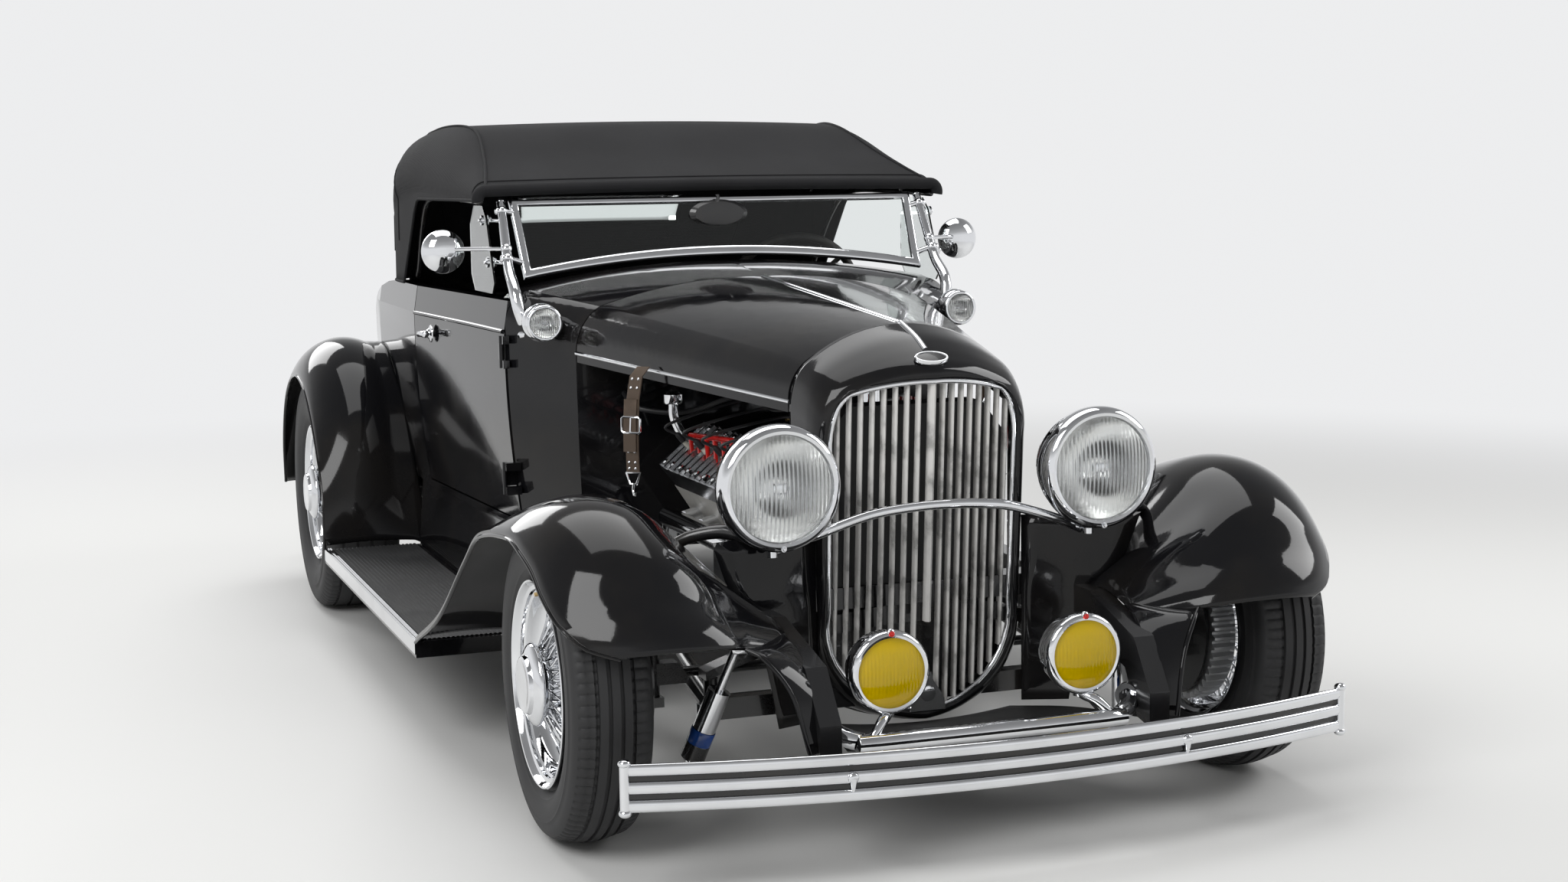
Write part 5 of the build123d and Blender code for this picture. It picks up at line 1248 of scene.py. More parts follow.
seat = {
    "cushion": dict(low=(-0.528, 1.862, 0.462), high=(0.528, 2.288, 0.688), node="seat_cushion", fill=0.7),
    "back": dict(low=(-0.528, 2.304, 0.470), high=(0.528, 2.424, 0.972), node="seat_back", fill=0.6),
    "inset": 0.014, "round": 0.035, "voxel": 0.011, "pressure": 4.0, "cap": 0.022, "frames": 20,
    "pleats": 17, "pleatDepth": 0.007, "pleatHalf": 0.5, "pleatFront": 1.90, "pleatTop": 0.93, "fade": 20,
    "crown": 0.004,
}


def padForm(low, high):
    # a rounded block a little smaller than its space
    mesh = bmesh.new()
    bmesh.ops.create_cube(mesh, size=1.0)
    low, high = Vector(low), Vector(high)
    centre, size = (low + high) / 2, high - low
    for vertex in mesh.verts:
        shares = [share * (side - seat["inset"] * 2) for share, side in zip(vertex.co, size)]
        vertex.co = spot(*(centre + Vector(shares)))
    bmesh.ops.bevel(mesh, geom=mesh.edges[:], offset=seat["round"], segments=4, profile=0.5, affect="EDGES")
    return mesh


def apply(piece):
    bpy.context.view_layer.update()
    shaped = bpy.data.meshes.new_from_object(piece.evaluated_get(bpy.context.evaluated_depsgraph_get()))
    piece.modifiers.clear()
    piece.data = shaped


def fadeIn(distance):
    return max(0, min(1, distance * seat["fade"]))


def makePad(name, size):
    mesh = padForm(size["low"], size["high"])
    data = bpy.data.meshes.new(name)
    mesh.to_mesh(data)
    mesh.free()
    pad = bpy.data.objects.new(name, data)
    bpy.context.scene.collection.objects.link(pad)
    remesh = pad.modifiers.new("even", "REMESH")
    remesh.mode, remesh.voxel_size = "VOXEL", seat["voxel"]
    apply(pad)
    rest = [vertex.co.copy() for vertex in pad.data.vertices]
    cushion = pad.modifiers.new("cloth", "CLOTH")
    cushion.settings.use_pressure = True
    cushion.settings.uniform_pressure_force = seat["pressure"]
    cushion.settings.effector_weights.gravity = 0
    cushion.settings.quality = 4
    cushion.point_cache.frame_end = seat["frames"]
    for number in range(1, seat["frames"] + 1):
        bpy.context.scene.frame_set(number)
    apply(pad)
    bpy.context.scene.frame_set(1)
    low, high = Vector(size["low"]), Vector(size["high"])
    flat = size["node"] == "seat_cushion"
    for vertex, start in zip(pad.data.vertices, rest):
        move = vertex.co - start
        if move.length > seat["cap"]:
            vertex.co = start + move.normalized() * seat["cap"]
        up = (vertex.co.z - low.z) / (high.z - low.z)
        station = vertex.co.y - frontAxle.y
        facingUs = up > 0.55 if flat else station < (low.y + high.y) / 2
        if facingUs:
            ridge = abs(math.sin(math.pi * seat["pleats"] * (vertex.co.x - low.x) / (high.x - low.x)))
            cut = seat["pleatDepth"] * (1 - ridge) ** 3 * fadeIn(seat["pleatHalf"] - abs(vertex.co.x))
            if flat:
                vertex.co.z -= cut * fadeIn(station - seat["pleatFront"])
            else:
                vertex.co.y += cut * fadeIn(seat["pleatTop"] - vertex.co.z)
        for index, limit in ((0, low.x), (2, low.z)):
            vertex.co[index] = max(vertex.co[index], limit)
        vertex.co.x = min(vertex.co.x, high.x)
        vertex.co.z = min(vertex.co.z, high.z + seat["crown"])
        vertex.co.y = min(max(vertex.co.y, low.y + frontAxle.y), high.y + frontAxle.y)
    smoother = pad.modifiers.new("soft", "SUBSURF")
    smoother.levels = smoother.render_levels = 1
    apply(pad)
    pad.data.materials.clear()
    pad.data.materials.append(seatLeather)
    for polygon in pad.data.polygons:
        polygon.use_smooth = True
    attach(pad, "chassis")
    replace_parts(pad, size["node"])


for part in ("cushion", "back"):
    makePad("seat_" + part + "_pad", seat[part])
print("seats made")

# Radiator shell: rolled from the grille's edge back to the hood line

shell = {
    "columns": ("half", "top", "shoulderX", "shoulderZ", "low", "forward"),
    "rows": [
        (0.2114, 0.9035, 0.1720, 0.8800, 0.2017, -0.012), (0.2114, 0.9035, 0.1720, 0.8800, 0.2017, 0.006),
        (0.2140, 0.9080, 0.1730, 0.8835, 0.1990, 0.0115), (0.2200, 0.9190, 0.1665, 0.8805, 0.1920, 0.0135),
        (0.2275, 0.9330, 0.1730, 0.8920, 0.1840, 0.0085), (0.2345, 0.9500, 0.1815, 0.9045, 0.1775, -0.006),
        (0.2400, 0.9690, 0.1900, 0.9160, 0.1725, -0.029), (0.2440, 0.9870, 0.1985, 0.9260, 0.1690, -0.060),
    ],
    "rear": (0.250, 1.0100, 0.2090, 0.9370, 0.1650), "rearStation": 0.0612,
    "ground": 0.00565, "lean": -0.07255,
    "turn": 8, "peak": 0.053, "peakHalf": 0.211, "peakShares": (1, 1, 1, 0.95, 0.8, 0.55, 0.3, 0.1),
    "sheet": 0.0022, "between": 4,
}


def shellRow(half, top, shoulderX, shoulderZ, low, station):
    # the outline from bottom centre up one side, and down the other
    steps = shell["turn"]
    foot = (half * 0.5, low + 0.025)
    corner, flank = (half - 0.002, low + 0.215), (half, shoulderZ - 0.120)
    shoulder = (shoulderX, shoulderZ)
    line = arc((-foot[0], foot[1]), (0, low), foot, steps * 2)[steps:]
    line += arc(foot, (half * 0.86, low + 0.088), corner, steps)
    line += straight(corner, flank, 6)
    bend = (half - (half - shoulderX) * 0.26, shoulderZ - 0.040)
    line += arc(flank, (half - 0.0005, shoulderZ - 0.085), bend, steps // 2)
    line += arc(bend, (half - (half - shoulderX) * 0.62, shoulderZ - 0.0135), shoulder, steps // 2)
    line += arc(shoulder, (0, top), (-shoulder[0], shoulder[1]), steps * 2)[:steps]
    line.append((0, top))
    right = [spot(x, station(x, z), z) for x, z in line]
    return right + [acrossFrom(point) for point in reversed(right[1:-1])]


def grilleStation(x, z, share=1.0):
    # the leaning front, drawn forward to a peak on the centre line
    peak = shell["peak"] * share * max(0, 1 - abs(x) / shell["peakHalf"])
    return shell["ground"] + shell["lean"] * z - peak


shellRows = []
for row, share in zip(shell["rows"], shell["peakShares"]):
    ahead = row[5]
    shellRows.append(shellRow(*row[:5], lambda x, z, a=ahead, s=share: grilleStation(x, z, s) - a))
shellRows.append(shellRow(*shell["rear"], lambda x, z: shell["rearStation"]))
rolled = Shape().use(bodyPaint)
rolled.skin(easeRows(shellRows, shell["between"]), around=True)
shellSkin = rolled.make("radiator_shell_skin", "chassis", "body_paint", sharp=180)
thicken(shellSkin, shell["sheet"], 0)
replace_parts(shellSkin, "radiator_shell")

# Grille: surround, upright blades with rounded noses, and the crank cover

grille = {
    "bars": 8, "pitch": 0.0231, "offset": 0.004, "half": 0.0034, "depth": 0.018, "surround": 0.0058,
    "edge": (0.2055, 0.8975, 0.1670, 0.8745, 0.2075),  # the shell's first five columns
    "surroundEdge": (0.2075, 0.9000, 0.1685, 0.8765, 0.2055), "surroundAhead": 0.0045,
    "midHeight": 0.55,
    "foot": 0.240,  # height of the crank cover
    "bell": [(-0.040, -0.036), (0.040, -0.036), (0.037, -0.012), (0.024, 0.010), (0.012, 0.028),
             (0.008, 0.046)],
    "plug": [(0.004, 0.017), (0.007, 0.016), (0.008, 0.012), (0.0085, 0)],
}


def grilleEdge(x, top):
    # height where the surround crosses an upright
    right = [point for point in shellRow(*grille["edge"], lambda x, z: 0) if point.x >= -1e-9]
    chosen = [point for point in right if (point.z > grille["midHeight"]) == top]
    chosen.sort(key=lambda point: point.x)
    for a, b in zip(chosen, chosen[1:]):
        if a.x <= abs(x) <= b.x:
            return a.z + (b.z - a.z) * (abs(x) - a.x) / max(b.x - a.x, 1e-6)
    return chosen[-1].z


blades = Shape().use(grilleBar)
places = [0.0] + [side * (grille["offset"] + grille["pitch"] * number)
                  for number in range(1, grille["bars"] + 1) for side in (1, -1)]
for x in places:
    half = grille["half"] * (2.0 if x == 0 else 1.0)
    proud = 0.003 if x == 0 else 0.0
    section = [(-half, grille["depth"]), (-half, 0.004), (-half * 0.8, 0.0012), (0, -0.001 - proud),
               (half * 0.8, 0.0012), (half, 0.004), (half, grille["depth"])]
    low, high = grilleEdge(x, False), grilleEdge(x, True)
    heights = [low + (high - low) * step / 6 for step in range(7)]
    rows = [[spot(x + a, grilleStation(x, z) + b - 0.002, z) for a, b in section] for z in heights]
    blades.skin(rows, around=True)
loop = shellRow(*grille["surroundEdge"], lambda x, z: grilleStation(x, z) - grille["surroundAhead"])
blades.use(chrome).tube(loop + loop[:1], grille["surround"], 14, 1)
cover = facing(spot(0, grilleStation(0, grille["foot"]) - 0.004, grille["foot"]), forward)
bell = grille["bell"] + [(-x, z) for x, z in grille["bell"][:1:-1]]
blades.use(polished).plate(bell, 0.004, cover)
blades.use(chrome).turn(grille["plug"], cover, 32)
grilleSkin = blades.make("grille_blades", "chassis", "stainless", sharp=40)
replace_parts(grilleSkin, "grille")

# Strip down the shell's nose and the bare oval badge


def touchPiece(piece, start, direction):
    hit, place, normal, face = piece.ray_cast(Vector(start), Vector(direction).normalized())
    if not hit:
        raise ValueError("nothing of " + piece.name + " on that line")
    return place, normal if normal.dot(Vector(direction)) < 0 else -normal


badge = {
    "height": 0.944, "wide": 0.037, "tall": 0.0190,
    "stripStations": (0.058, 0.030, 0.000, -0.025), "stripHeights": (0.975, 0.960),
    "strip": (0.0052, 0.0066),
    # forward, share of the width
    "rim": [(-0.004, 1), (0.003, 1), (0.0050, 0.96), (0.0050, 0.90), (0.003, 0.87)],
    "face": [(0.003, 0.88), (0.0042, 0.6), (0.0048, 0)],
}
strip = Shape().use(chrome)
line = [touchPiece(shellSkin, spot(0, station, 1.3), -upward)[0] for station in badge["stripStations"]]
line += [touchPiece(shellSkin, spot(0, -1.0, height), backward)[0] for height in badge["stripHeights"]]
strip.tube(line, badge["strip"], 12, 4)
badgePlace, badgeNormal = touchPiece(shellSkin, spot(0, -1.0, badge["height"]), backward)
badgeNormal.x = 0
oval = facing(badgePlace + badgeNormal.normalized() * 0.002, badgeNormal)
flatness = badge["tall"] / badge["wide"]
sideways = abs((oval.to_3x3() @ Vector((1, 0, 0))).x) > 0.7
oval = oval @ Matrix.Diagonal((1, flatness, 1, 1) if sideways else (flatness, 1, 1, 1))
strip.turn([(out, badge["wide"] * share) for out, share in badge["rim"]], oval, 64)
strip.use(chassisPaint).turn([(out, badge["wide"] * share) for out, share in badge["face"]], oval, 64)
strip.make("shell_strip_and_badge", "chassis", "chrome")

# Aprons from the fender noses down to the frame, and the pan behind the spreader bar

apron = {
    "inner": [(0.384, -0.080, 0.4425), (0.375, -0.240, 0.428), (0.352, -0.360, 0.350),
              (0.342, -0.404, 0.238)],
    "mid": [(0.436, -0.240, 0.440), (0.420, -0.330, 0.422), (0.392, -0.386, 0.350), (0.374, -0.413, 0.236)],
    "outer": [(0.490, -0.334, 0.428), (0.462, -0.364, 0.410), (0.420, -0.396, 0.345),
              (0.394, -0.418, 0.232)],
    "pan": [(0.200, -0.050, 0.190), (0.262, -0.180, 0.212), (0.292, -0.300, 0.226), (0.300, -0.372, 0.222)],
    "dip": 0.014, "sheet": 0.003, "bead": 0.0046, "shellSide": (0.234, -0.036),
    "baffle": [(-0.200, 0.1175), (-0.200, -0.0423), (-0.144, -0.1175), (0.144, -0.1175), (0.200, -0.0423),
               (0.200, 0.1175)],
    "baffleAt": (0, 0.014, 0.3425),
    "wall": [(0.330, -0.070, 0.196), (0.350, -0.072, 0.300), (0.374, -0.078, 0.400), (0.386, -0.081, 0.4435),
             (0.440, -0.100, 0.494), (0.480, -0.110, 0.598)],
}


def alongCurve(points, share):
    # a point part of the way along a smooth line
    line = smoothPath([Vector(point) for point in points], 8)
    place = share * (len(line) - 1)
    first = min(int(place), len(line) - 2)
    return line[first].lerp(line[first + 1], place - first)


front = Shape().use(bodyPaint)
frontBeads = Shape().use(bodyPaint)
for side in sides:
    near, ahead = apron["shellSide"]
    rows = []
    for step in range(21):
        edge = alongCurve(apron["wall"], step / 20)
        starts = Vector((near, ahead, edge.z))
        rows.append(onSide([starts.lerp(edge, number / 6) for number in range(7)], side)[::side])
    front.skin(rows)
    rows = []
    for step in range(17):
        low, mid, high = (alongCurve(apron[key], step / 16) for key in ("inner", "mid", "outer"))
        row = arc((low.x, low.y), (mid.x, mid.y), (high.x, high.y), 10) + [(high.x, high.y)]
        heights = [low.z + (high.z - low.z) * number / 10 for number in range(11)]
        rows.append([spot(x * side, y, z) for (x, y), z in zip(row, heights)][::side])
    front.skin(rows)
    edge = -1 if side == 1 else 0
    frontBeads.tube([row[edge] for row in rows], apron["bead"], 10, 1)
rows = []
shares = [number / 8 - 1 for number in range(17)]
for step in range(21):
    edge = alongCurve(apron["pan"], step / 20)
    rows.append([spot(edge.x * share, edge.y, edge.z - apron["dip"] * (1 - share ** 2)) for share in shares])
front.use(radiatorBlack).skin(rows)
thicken(front.make("front_aprons", "chassis", "body_paint", sharp=60), apron["sheet"])
baffle = facing(spot(*apron["baffleAt"]), forward)
frontBeads.use(chassisPaint).plate(apron["baffle"], apron["sheet"], baffle)
frontBeads.make("front_apron_beads", "chassis", "body_paint", sharp=50)
print("radiator shell, grille and aprons made")

# Engine dress: plugs, leads and their red loom, distributor, hoses, linkage and caps

engine = {
    "plugs": (0.285, 0.420, 0.560, 0.700), "face": ((0.212, 0.733), (0.322, 0.637)),
    "distributor": (0.0, 0.205, 0.735), "lean": (0, -0.35, 1),
    "cap": [(0, 0.0), (0, 0.046), (0.018, 0.047), (0.022, 0.040), (0.036, 0.036), (0.040, 0.0)],
    "body": [(-0.05, 0.0), (-0.05, 0.034), (-0.012, 0.036), (-0.008, 0.050), (0.001, 0.050), (0.001, 0)],
    "plugNut": [(0, 0.0), (0, 0.016), (0.010, 0.015), (0.010, 0.0)],
    "plugTop": [(0.010, 0.007), (0.030, 0.0055), (0.032, 0.0)],
    "plugBoot": [(0, 0.0075), (0.020, 0.0070), (0.026, 0.0045)], "lead": 0.0036,
    "loom": [(0.281, 0.350, 0.742), (0.281, 0.650, 0.722)], "loomRadius": 0.0068,
    "fingers": 6, "fingerFoot": 0.674, "fingerRadius": (0.0062, 0.0048),
    "boltRows": ((0.222, 0.7245), (0.312, 0.6460)), "boltFirst": 0.250, "boltPitch": 0.060, "bolts": 9,
    "bolt": [(0, 0.0098), (0.009, 0.0098), (0.014, 0.0065), (0.017, 0.0)],
    "hose": 0.0185, "hoseLine": [(0.196, 0.232, 0.712), (0.186, 0.192, 0.764), (0.122, 0.120, 0.806),
                                 (0.112, 0.060, 0.800)],
    "clamp": [(-0.006, 0.0185), (-0.006, 0.0202), (0.006, 0.0202), (0.006, 0.0185)],
    "outlet": [(-0.012, 0.0), (-0.012, 0.026), (0.022, 0.022), (0.030, 0.0)],
    "pipe": [(0.360, 0.930, 0.80), (0.350, 0.860, 0.770), (0.250, 0.800, 0.760), (0.160, 0.700, 0.800),
             (0.090, 0.640, 0.800)],
    "pipeRadius": 0.0065, "stacks": (0.400, 0.590), "stackTop": 0.880, "fins": 5, "finPitch": 0.009,
    "finFoot": -0.044, "domeBall": 0.008, "carburettor": (0.10, 0.085, 0.06), "drop": 0.115,
    "fin": [(0.0, 0.0835), (0.002, 0.0872), (0.005, 0.0872), (0.007, 0.0835)],
    "dome": [(0.004, 0.083), (0.008, 0.074), (0.009, 0.060), (0.0065, 0.052), (0.0065, 0.0)],
    "bowl": [(0, 0.0), (0, 0.030), (0.045, 0.030), (0.050, 0.024), (0.050, 0)],
    "fillers": (-0.118, 0.300, 0.775),
    "fillerCap": [(0, 0.0), (0, 0.021), (0.006, 0.023), (0.030, 0.023), (0.036, 0.020), (0.036, 0)],
    "fillerNeck": [(-0.075, 0.0), (-0.075, 0.026), (0.0, 0.023), (0.0, 0)],
    "prongs": 4, "prongAt": 0.015, "prong": 0.0042,
    "link": [(-0.045, 0.30, 0.800), (-0.045, 0.68, 0.800)], "linkRadius": 0.0055, "armRadius": 0.004,
    "breather": [(-0.262, 0.765, 0.700), (-0.282, 0.775, 0.750), (-0.284, 0.775, 0.785)],
    "breatherRadius": 0.012,
    "breatherCap": [(0, 0.022), (0.004, 0.024), (0.022, 0.024), (0.028, 0.018), (0.030, 0)],
}
dress = Shape()
hub = spot(*engine["distributor"])
dress.use(redEnamel).cap(engine["cap"], hub, engine["lean"], 40)
dress.use(polished).cap(engine["body"], hub, engine["lean"], 40)
(innerX, innerZ), (outerX, outerZ) = engine["face"]
for side in sides:
    normal = Vector(((innerZ - outerZ) * side, 0, outerX - innerX)).normalized()
    for number, station in enumerate(engine["plugs"]):
        place = spot((innerX + outerX) / 2 * side, station, (innerZ + outerZ) / 2) - normal * 0.006
        dress.use(cast).cap(engine["plugNut"], place, normal, 6)
        dress.use(dialFace).cap(engine["plugTop"], place, normal, 16)
        boot = place + normal * 0.030
        dress.use(hoseRubber).cap(engine["plugBoot"], boot, normal, 16)
        rail = spot(0.150 * side, station - 0.02, 0.775 + 0.006 * number)
        nearHub = hub + Vector((0.034 * math.cos(number * 1.1 + 0.4) * side, 0.05, 0.040))
        lead = [boot + normal * 0.02, boot + normal * 0.055, rail]
        lead += [rail + Vector((-0.02 * side, -0.09, 0.004))]
        lead += [nearHub + Vector((0.03 * side, 0.06, 0.03)), nearHub]
        dress.tube(lead, engine["lead"], 8)
    ahead, behind = onSide(engine["loom"], side)
    dress.use(redEnamel).tube([ahead, behind], engine["loomRadius"], 12, 1)
    for number in range(engine["fingers"]):
        high = ahead + (behind - ahead) * number / (engine["fingers"] - 1)
        low = Vector((high.x - 0.003 * side, high.y, engine["fingerFoot"]))
        dress.tube([high, low], engine["fingerRadius"], 10, 1)
    for x, z in engine["boltRows"]:
        for number in range(engine["bolts"]):
            foot = spot(x * side, engine["boltFirst"] + engine["boltPitch"] * number, z)
            dress.use(chrome).cap(engine["bolt"], foot, normal, 6)
    start, rise, fall, end = hosePath = onSide(engine["hoseLine"], side)
    dress.use(hoseRubber).tube(hosePath, engine["hose"], 18)
    dress.use(chrome).cap(engine["clamp"], rise * 0.25 + start * 0.75, rise - start)
    dress.cap(engine["clamp"], end * 0.8 + fall * 0.2, end - fall)
    dress.use(polished).cap(engine["outlet"], start, rise - start, 24)
    dress.use(hoseRubber).tube(onSide(engine["pipe"], side), engine["pipeRadius"], 10)
for station in engine["stacks"]:
    top = spot(0, station, engine["stackTop"])
    profile = []
    for number in range(engine["fins"]):
        foot = engine["finFoot"] + number * engine["finPitch"]
        profile += [(foot + z, reach) for z, reach in engine["fin"]]
    dress.use(chrome).cap(profile + engine["dome"], top, upward, 72)
    dress.ball(top + Vector((0, 0, 0.009)), engine["domeBall"])
    dress.use(polished).block(top - upward * engine["drop"], engine["carburettor"])
    for side in (-1, 1):
        ends = [top + Vector((side * x, 0, -0.125)) for x in (0.052, 0.066)]
        dress.use(brass).tube(ends, 0.007, 12, 1)
        dress.use(cast).cap(engine["bowl"], top + Vector((side * 0.028, -0.052, -0.150)), upward, 24)
for side in (-1, 1):
    start = pointOn(engine["fillers"], side)
    dress.use(redEnamel).cap(engine["fillerCap"], start, upward, 28)
    for number in range(engine["prongs"]):
        angle = math.tau * (number + 0.5) / engine["prongs"]
        reach = engine["prongAt"]
        prong = start + Vector((reach * math.cos(angle), reach * math.sin(angle), 0.036))
        dress.tube([prong, prong + Vector((0, 0, 0.014))], engine["prong"], 10, 1)
    dress.use(polished).cap(engine["fillerNeck"], start, upward, 28)
dress.use(chrome).tube(onSide(engine["link"]), engine["linkRadius"], 12, 1)
for station in engine["stacks"]:
    arm = [(-0.045, station, 0.800), (-0.045, station - 0.01, 0.775), (-0.052, station, 0.760)]
    dress.tube(onSide(arm), engine["armRadius"], 8)
breather = onSide(engine["breather"])
dress.tube(breather, engine["breatherRadius"], 16)
dress.cap(engine["breatherCap"], breather[-1], upward)
dress.make("engine_dress", "chassis", "polished_aluminium")
print("engine dressed")

# Top trimmings: header roll, welts, bows and the rear window

trimmings = Shape().use(canvas)
skirt = softTop["skirt"]
roll = [point + Vector((0, -0.004, -0.006)) for point in topRows[0][skirt:-skirt]]
trimmings.tube(roll, softTop["roll"], 18, 1)
nearRow = [point + Vector((0, 0, 0.0008)) for point in topRows[2][skirt:-skirt]]
trimmings.tube(nearRow, softTop["rollSeam"], 8, 1)
roofColumn = skirt + softTop["shoulder"]
for column in (roofColumn, len(topRows[0]) - 1 - roofColumn):
    trimmings.tube([row[column] + Vector((0, 0, 0.001)) for row in topRows], softTop["welt"], 10, 1)


def rowNear(station):
    return min(topRows, key=lambda row: abs(row[0].y - frontAxle.y - station))


for station in softTop["seams"]:
    trimmings.tube(rowNear(station)[skirt - 4:-skirt + 4], softTop["seam"], 10, 1)
for side in (0, -1):
    trimmings.tube([row[side] for row in topRows], softTop["hem"], 10, 1)
holes = [(r, c) for r in range(len(topRows) - 1) for c in range(len(topRows[0]) - 1) if inRearWindow(r, c)]
topHole, lowHole = min(r for r, c in holes), max(r for r, c in holes) + 1
leftHole, rightHole = min(c for r, c in holes), max(c for r, c in holes) + 1
corners = [(topHole, c) for c in range(leftHole, rightHole)]
corners += [(r, rightHole) for r in range(topHole, lowHole)]
corners += [(lowHole, c) for c in range(rightHole, leftHole, -1)]
corners += [(r, leftHole) for r in range(lowHole, topHole - 1, -1)]
trimmings.tube([topRows[r][c] for r, c in corners], softTop["binding"], 12, 1)
trimmings.make("soft_top_welts", "chassis", "canvas", sharp=180)
behindCanvas = Vector((0, -0.003, -0.001))
paneRows = [row[leftHole:rightHole + 1] for row in topRows[topHole:lowHole + 1]]
grid = [[point + behindCanvas for point in row] for row in paneRows]
pane = Shape().use(clearGlass).skin(grid)
thicken(pane.make("rear_window_pane", "chassis", "clear_glass", sharp=180), 0.002, 0)

bows = Shape().use(chassisPaint)
for station in softTop["bows"]:
    row = rowNear(station)[skirt:-skirt]
    under = [Vector((point.x * 0.972, point.y, point.z - 0.014)) for point in row]
    bows.tube(under, softTop["bow"], 12, 1)
for side in sides:
    bows.tube(onSide(softTop["irons"], side), softTop["iron"], 12)
bows.make("soft_top_bows", "chassis", "chassis_paint", sharp=180)
print("top trimmings made")

# Dashboard panel with its gauges and knobs, and the gear lever

gauges = {
    "z": 0.972, "panel": (0.56, 0.104, 0.05), "sheet": 0.0035,
    "dials": ((-0.090, 0.041), (0.090, 0.041), (-0.205, 0.027), (0.0, 0.027), (0.205, 0.027)),  # x, radius
    # forward, share of the radius
    "rim": [(0, 1), (0.006, 1.02), (0.008, 0.96), (0.006, 0.9), (0.001, 0.88)],
    "marks": 11, "markStart": 225, "markStep": 27, "markReach": (0.66, 0.82), "needle": 2.6,
    "knobs": (-0.34, -0.38, 0.34, 0.38),
    "knob": [(0, 0.012), (0.010, 0.011), (0.016, 0.008), (0.017, 0)],
    "lever": [(0.0, 1.40, 0.465), (0.0, 1.42, 0.560), (0.010, 1.500, 0.700), (0.030, 1.560, 0.790)],
    "leverRadius": (0.0085, 0.0055), "leverBall": 0.0235, "gaiterAt": (0.0, 1.40, 0.460),
    "gaiter": [(0, 0.060), (0.012, 0.052), (0.020, 0.034), (0.034, 0.026), (0.040, 0.016), (0.052, 0.010)],
}
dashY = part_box("dashboard")[1].y
panelShape = Shape().use(polished)
panelPlace = facing(Vector((0, dashY, gauges["z"])), backward)
panelShape.plate(roundedOutline(*gauges["panel"]), gauges["sheet"], panelPlace)
for x, radius in gauges["dials"]:
    dial = facing(Vector((x, dashY + gauges["sheet"], gauges["z"])), backward)
    panelShape.use(chrome).turn([(out, radius * share) for out, share in gauges["rim"]], dial, 48)
    panelShape.use(dialFace).turn([(0.0015, radius * 0.9), (0.0015, 0)], dial, 48)
    panelShape.use(castIron)
    for number in range(gauges["marks"]):
        angle = math.radians(gauges["markStart"] - gauges["markStep"] * number)
        mark = Vector((math.cos(angle), math.sin(angle), 0))
        ends = [dial @ (mark * radius * share + Vector((0, 0, 0.002))) for share in gauges["markReach"]]
        panelShape.tube(ends, radius * 0.02, 6, 1)
    needle = Vector((math.cos(gauges["needle"]), math.sin(gauges["needle"]), 0))
    ends = [dial @ (needle * radius * share + Vector((0, 0, 0.003))) for share in (0, 0.7)]
    panelShape.use(redEnamel).tube(ends, (radius * 0.04, radius * 0.015), 6, 1)
panelShape.use(chrome)
for x in gauges["knobs"]:
    panelShape.cap(gauges["knob"], Vector((x, dashY, gauges["z"])), backward, 24)
lever = onSide(gauges["lever"])
panelShape.tube(lever, gauges["leverRadius"], 14)
panelShape.use(castIron).ball(lever[-1] + Vector((0, 0, 0.014)), gauges["leverBall"])
panelShape.use(hoseRubber).cap(gauges["gaiter"], spot(*gauges["gaiterAt"]), upward, 40)
panelShape.make("dash_panel", "chassis", "polished_aluminium")

# Rear dress: lamp glasses and the lid's handle

rear = {
    "lamp": (0.447, 0.548),  # x, z
    "glass": [(0, 0.0325), (0.006, 0.0315), (0.011, 0.026), (0.014, 0.016), (0.015, 0)],
    "rim": [(-0.004, 0.0385), (0.003, 0.039), (0.006, 0.0365), (0.006, 0.0325), (0.0, 0.032)],
    "handleAt": (0, 3.9, 0.865), "bar": (-0.05, -0.02, 0.02, 0.05), "barOut": 0.020,
    "barRadius": 0.0072, "barEnd": 0.0074,
    "rose": [(0, 0.021), (0.003, 0.020), (0.007, 0.012), (0.018, 0.009), (0.020, 0)],
}
rearDress = Shape()
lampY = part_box("tail_lights")[1].y - 0.002
for side in sides:
    place = facing(Vector((rear["lamp"][0] * side, lampY, rear["lamp"][1])), backward)
    rearDress.use(redGlass).turn(rear["glass"], place, 48)
    rearDress.use(chrome).turn(rear["rim"], place, 48)
rearDress.make("tail_light_glasses", "chassis", "red_glass")
lidHandle = Shape().use(chrome)
lidPlace = facing(*touchPiece(nodes["deck_lid"], spot(*rear["handleAt"]), forward))
lidHandle.turn(rear["rose"], lidPlace, 32)
barLine = [lidPlace @ Vector((x, 0, rear["barOut"])) for x in rear["bar"]]
lidHandle.tube(barLine, rear["barRadius"], 14)
lidHandle.ball(barLine[0], rear["barEnd"])
lidHandle.ball(barLine[-1], rear["barEnd"])
lidHandle.make("deck_lid_handle", "deck_lid", "chrome")
print("inside and rear dressed")

# Camera, lights and floor

view = {
    "place": (-1.84015, -5.82881, 1.33373),
    "turn": (1.4498469, 0.0143382, -0.3498128),
    "lens": 51.3879, "sensor": 36.0,
}
cameraData = bpy.data.cameras.new("camera")
cameraData.lens = view["lens"]
cameraData.sensor_width = view["sensor"]
camera = bpy.data.objects.new("camera", cameraData)
camera.location = view["place"]
camera.rotation_euler = view["turn"]
bpy.context.scene.collection.objects.link(camera)
bpy.context.scene.camera = camera

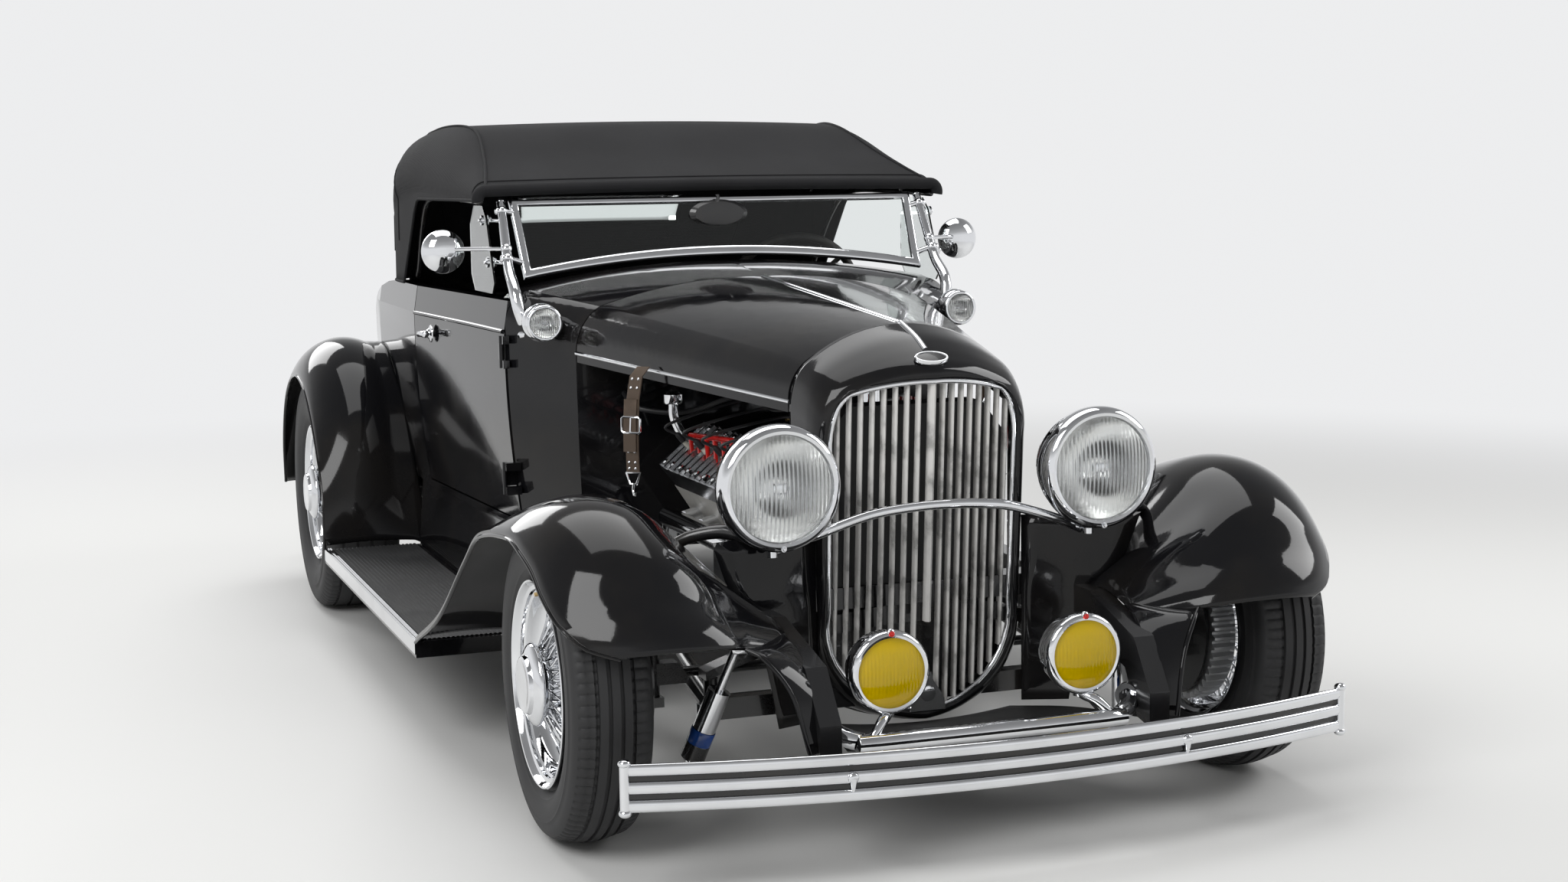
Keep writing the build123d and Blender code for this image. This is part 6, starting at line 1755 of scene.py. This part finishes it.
studio = {
    "ground": (0.70, 0.70, 0.69), "backdrop": 0.86, "fill": 0.40,
    "sky": [(0.0, 0.86), (0.16, 0.86), (0.34, 0.48), (0.6, 0.32), (1.0, 0.22)],
    "lamps": [  # name, place, size, power
        ("key", (-4.5, -4.0, 4.6), 3.2, 215),
        ("side", (5.0, -2.0, 3.6), 2.6, 110),
        ("overhead", (0.0, 0.5, 5.2), 4.5, 150),
        ("rear", (-2.0, 6.0, 3.8), 3.0, 130),
    ],
}
for name, place, size, power in studio["lamps"]:
    lampData = bpy.data.lights.new(name, "AREA")
    lampData.size = size
    lampData.energy = power
    light = bpy.data.objects.new(name, lampData)
    light.location = place
    light.rotation_euler = (Vector((0, 0, 0.5)) - Vector(place)).to_track_quat("-Z", "Y").to_euler()
    bpy.context.scene.collection.objects.link(light)

# The camera, glossy rays and glass see a graded sky, and everything else is lit by plain white
world = bpy.data.worlds.new("studio")
bpy.context.scene.world = world
air = Wiring(world)
air.tree.nodes.remove(air.tree.nodes["Background"])
plain = air.node("ShaderNodeBackground", None, {"Color": (1, 1, 1, 1), "Strength": studio["fill"]})
direction = air.node("ShaderNodeTexCoord", output="Generated")
height = air.node("ShaderNodeSeparateXYZ", None, {0: direction}, "Z")
stops = [(position, (bright * 0.985, bright * 0.99, bright)) for position, bright in studio["sky"]]
sky = air.node("ShaderNodeValToRGB", {"stops": stops}, {"Fac": height}, "Color")
seen = air.node("ShaderNodeBackground", None, {"Color": sky, "Strength": 1.0})
cameraRay, glossyRay, glassRay = (air.node("ShaderNodeLightPath", output="Is " + kind + " Ray")
                                  for kind in ("Camera", "Glossy", "Transmission"))
mask = cameraRay.either(glossyRay).either(glassRay)
choose = air.node("ShaderNodeMixShader", None, {0: mask, 1: plain, 2: seen})
air.join(choose, air.tree.nodes["World Output"].inputs["Surface"])

ground = Finish("studio floor", studio["ground"], 0.7)
distance = ground.node("ShaderNodeVectorMath", {"operation": "LENGTH"}, {0: ground.place}, "Value")
glow = {"Color": (0.985, 0.99, 1, 1), "Strength": studio["backdrop"]}
pale = ground.node("ShaderNodeEmission", None, glow)
shaderOut = Wire(ground, ground.shader.outputs[0])
faded = ground.node("ShaderNodeMixShader", None, {0: distance.between(2.9, 7.0), 1: shaderOut, 2: pale})
ground.join(faded, ground.tree.nodes["Material Output"].inputs["Surface"])
bpy.ops.mesh.primitive_circle_add(vertices=96, radius=60, fill_type="NGON")
floor = bpy.context.object
floor.name = "studio_floor"
floor.location.z = cadBox[0].z
floor.data.materials.append(ground.material)
bpy.context.scene.view_settings.view_transform = "Standard"
print("camera, lights and floor made")
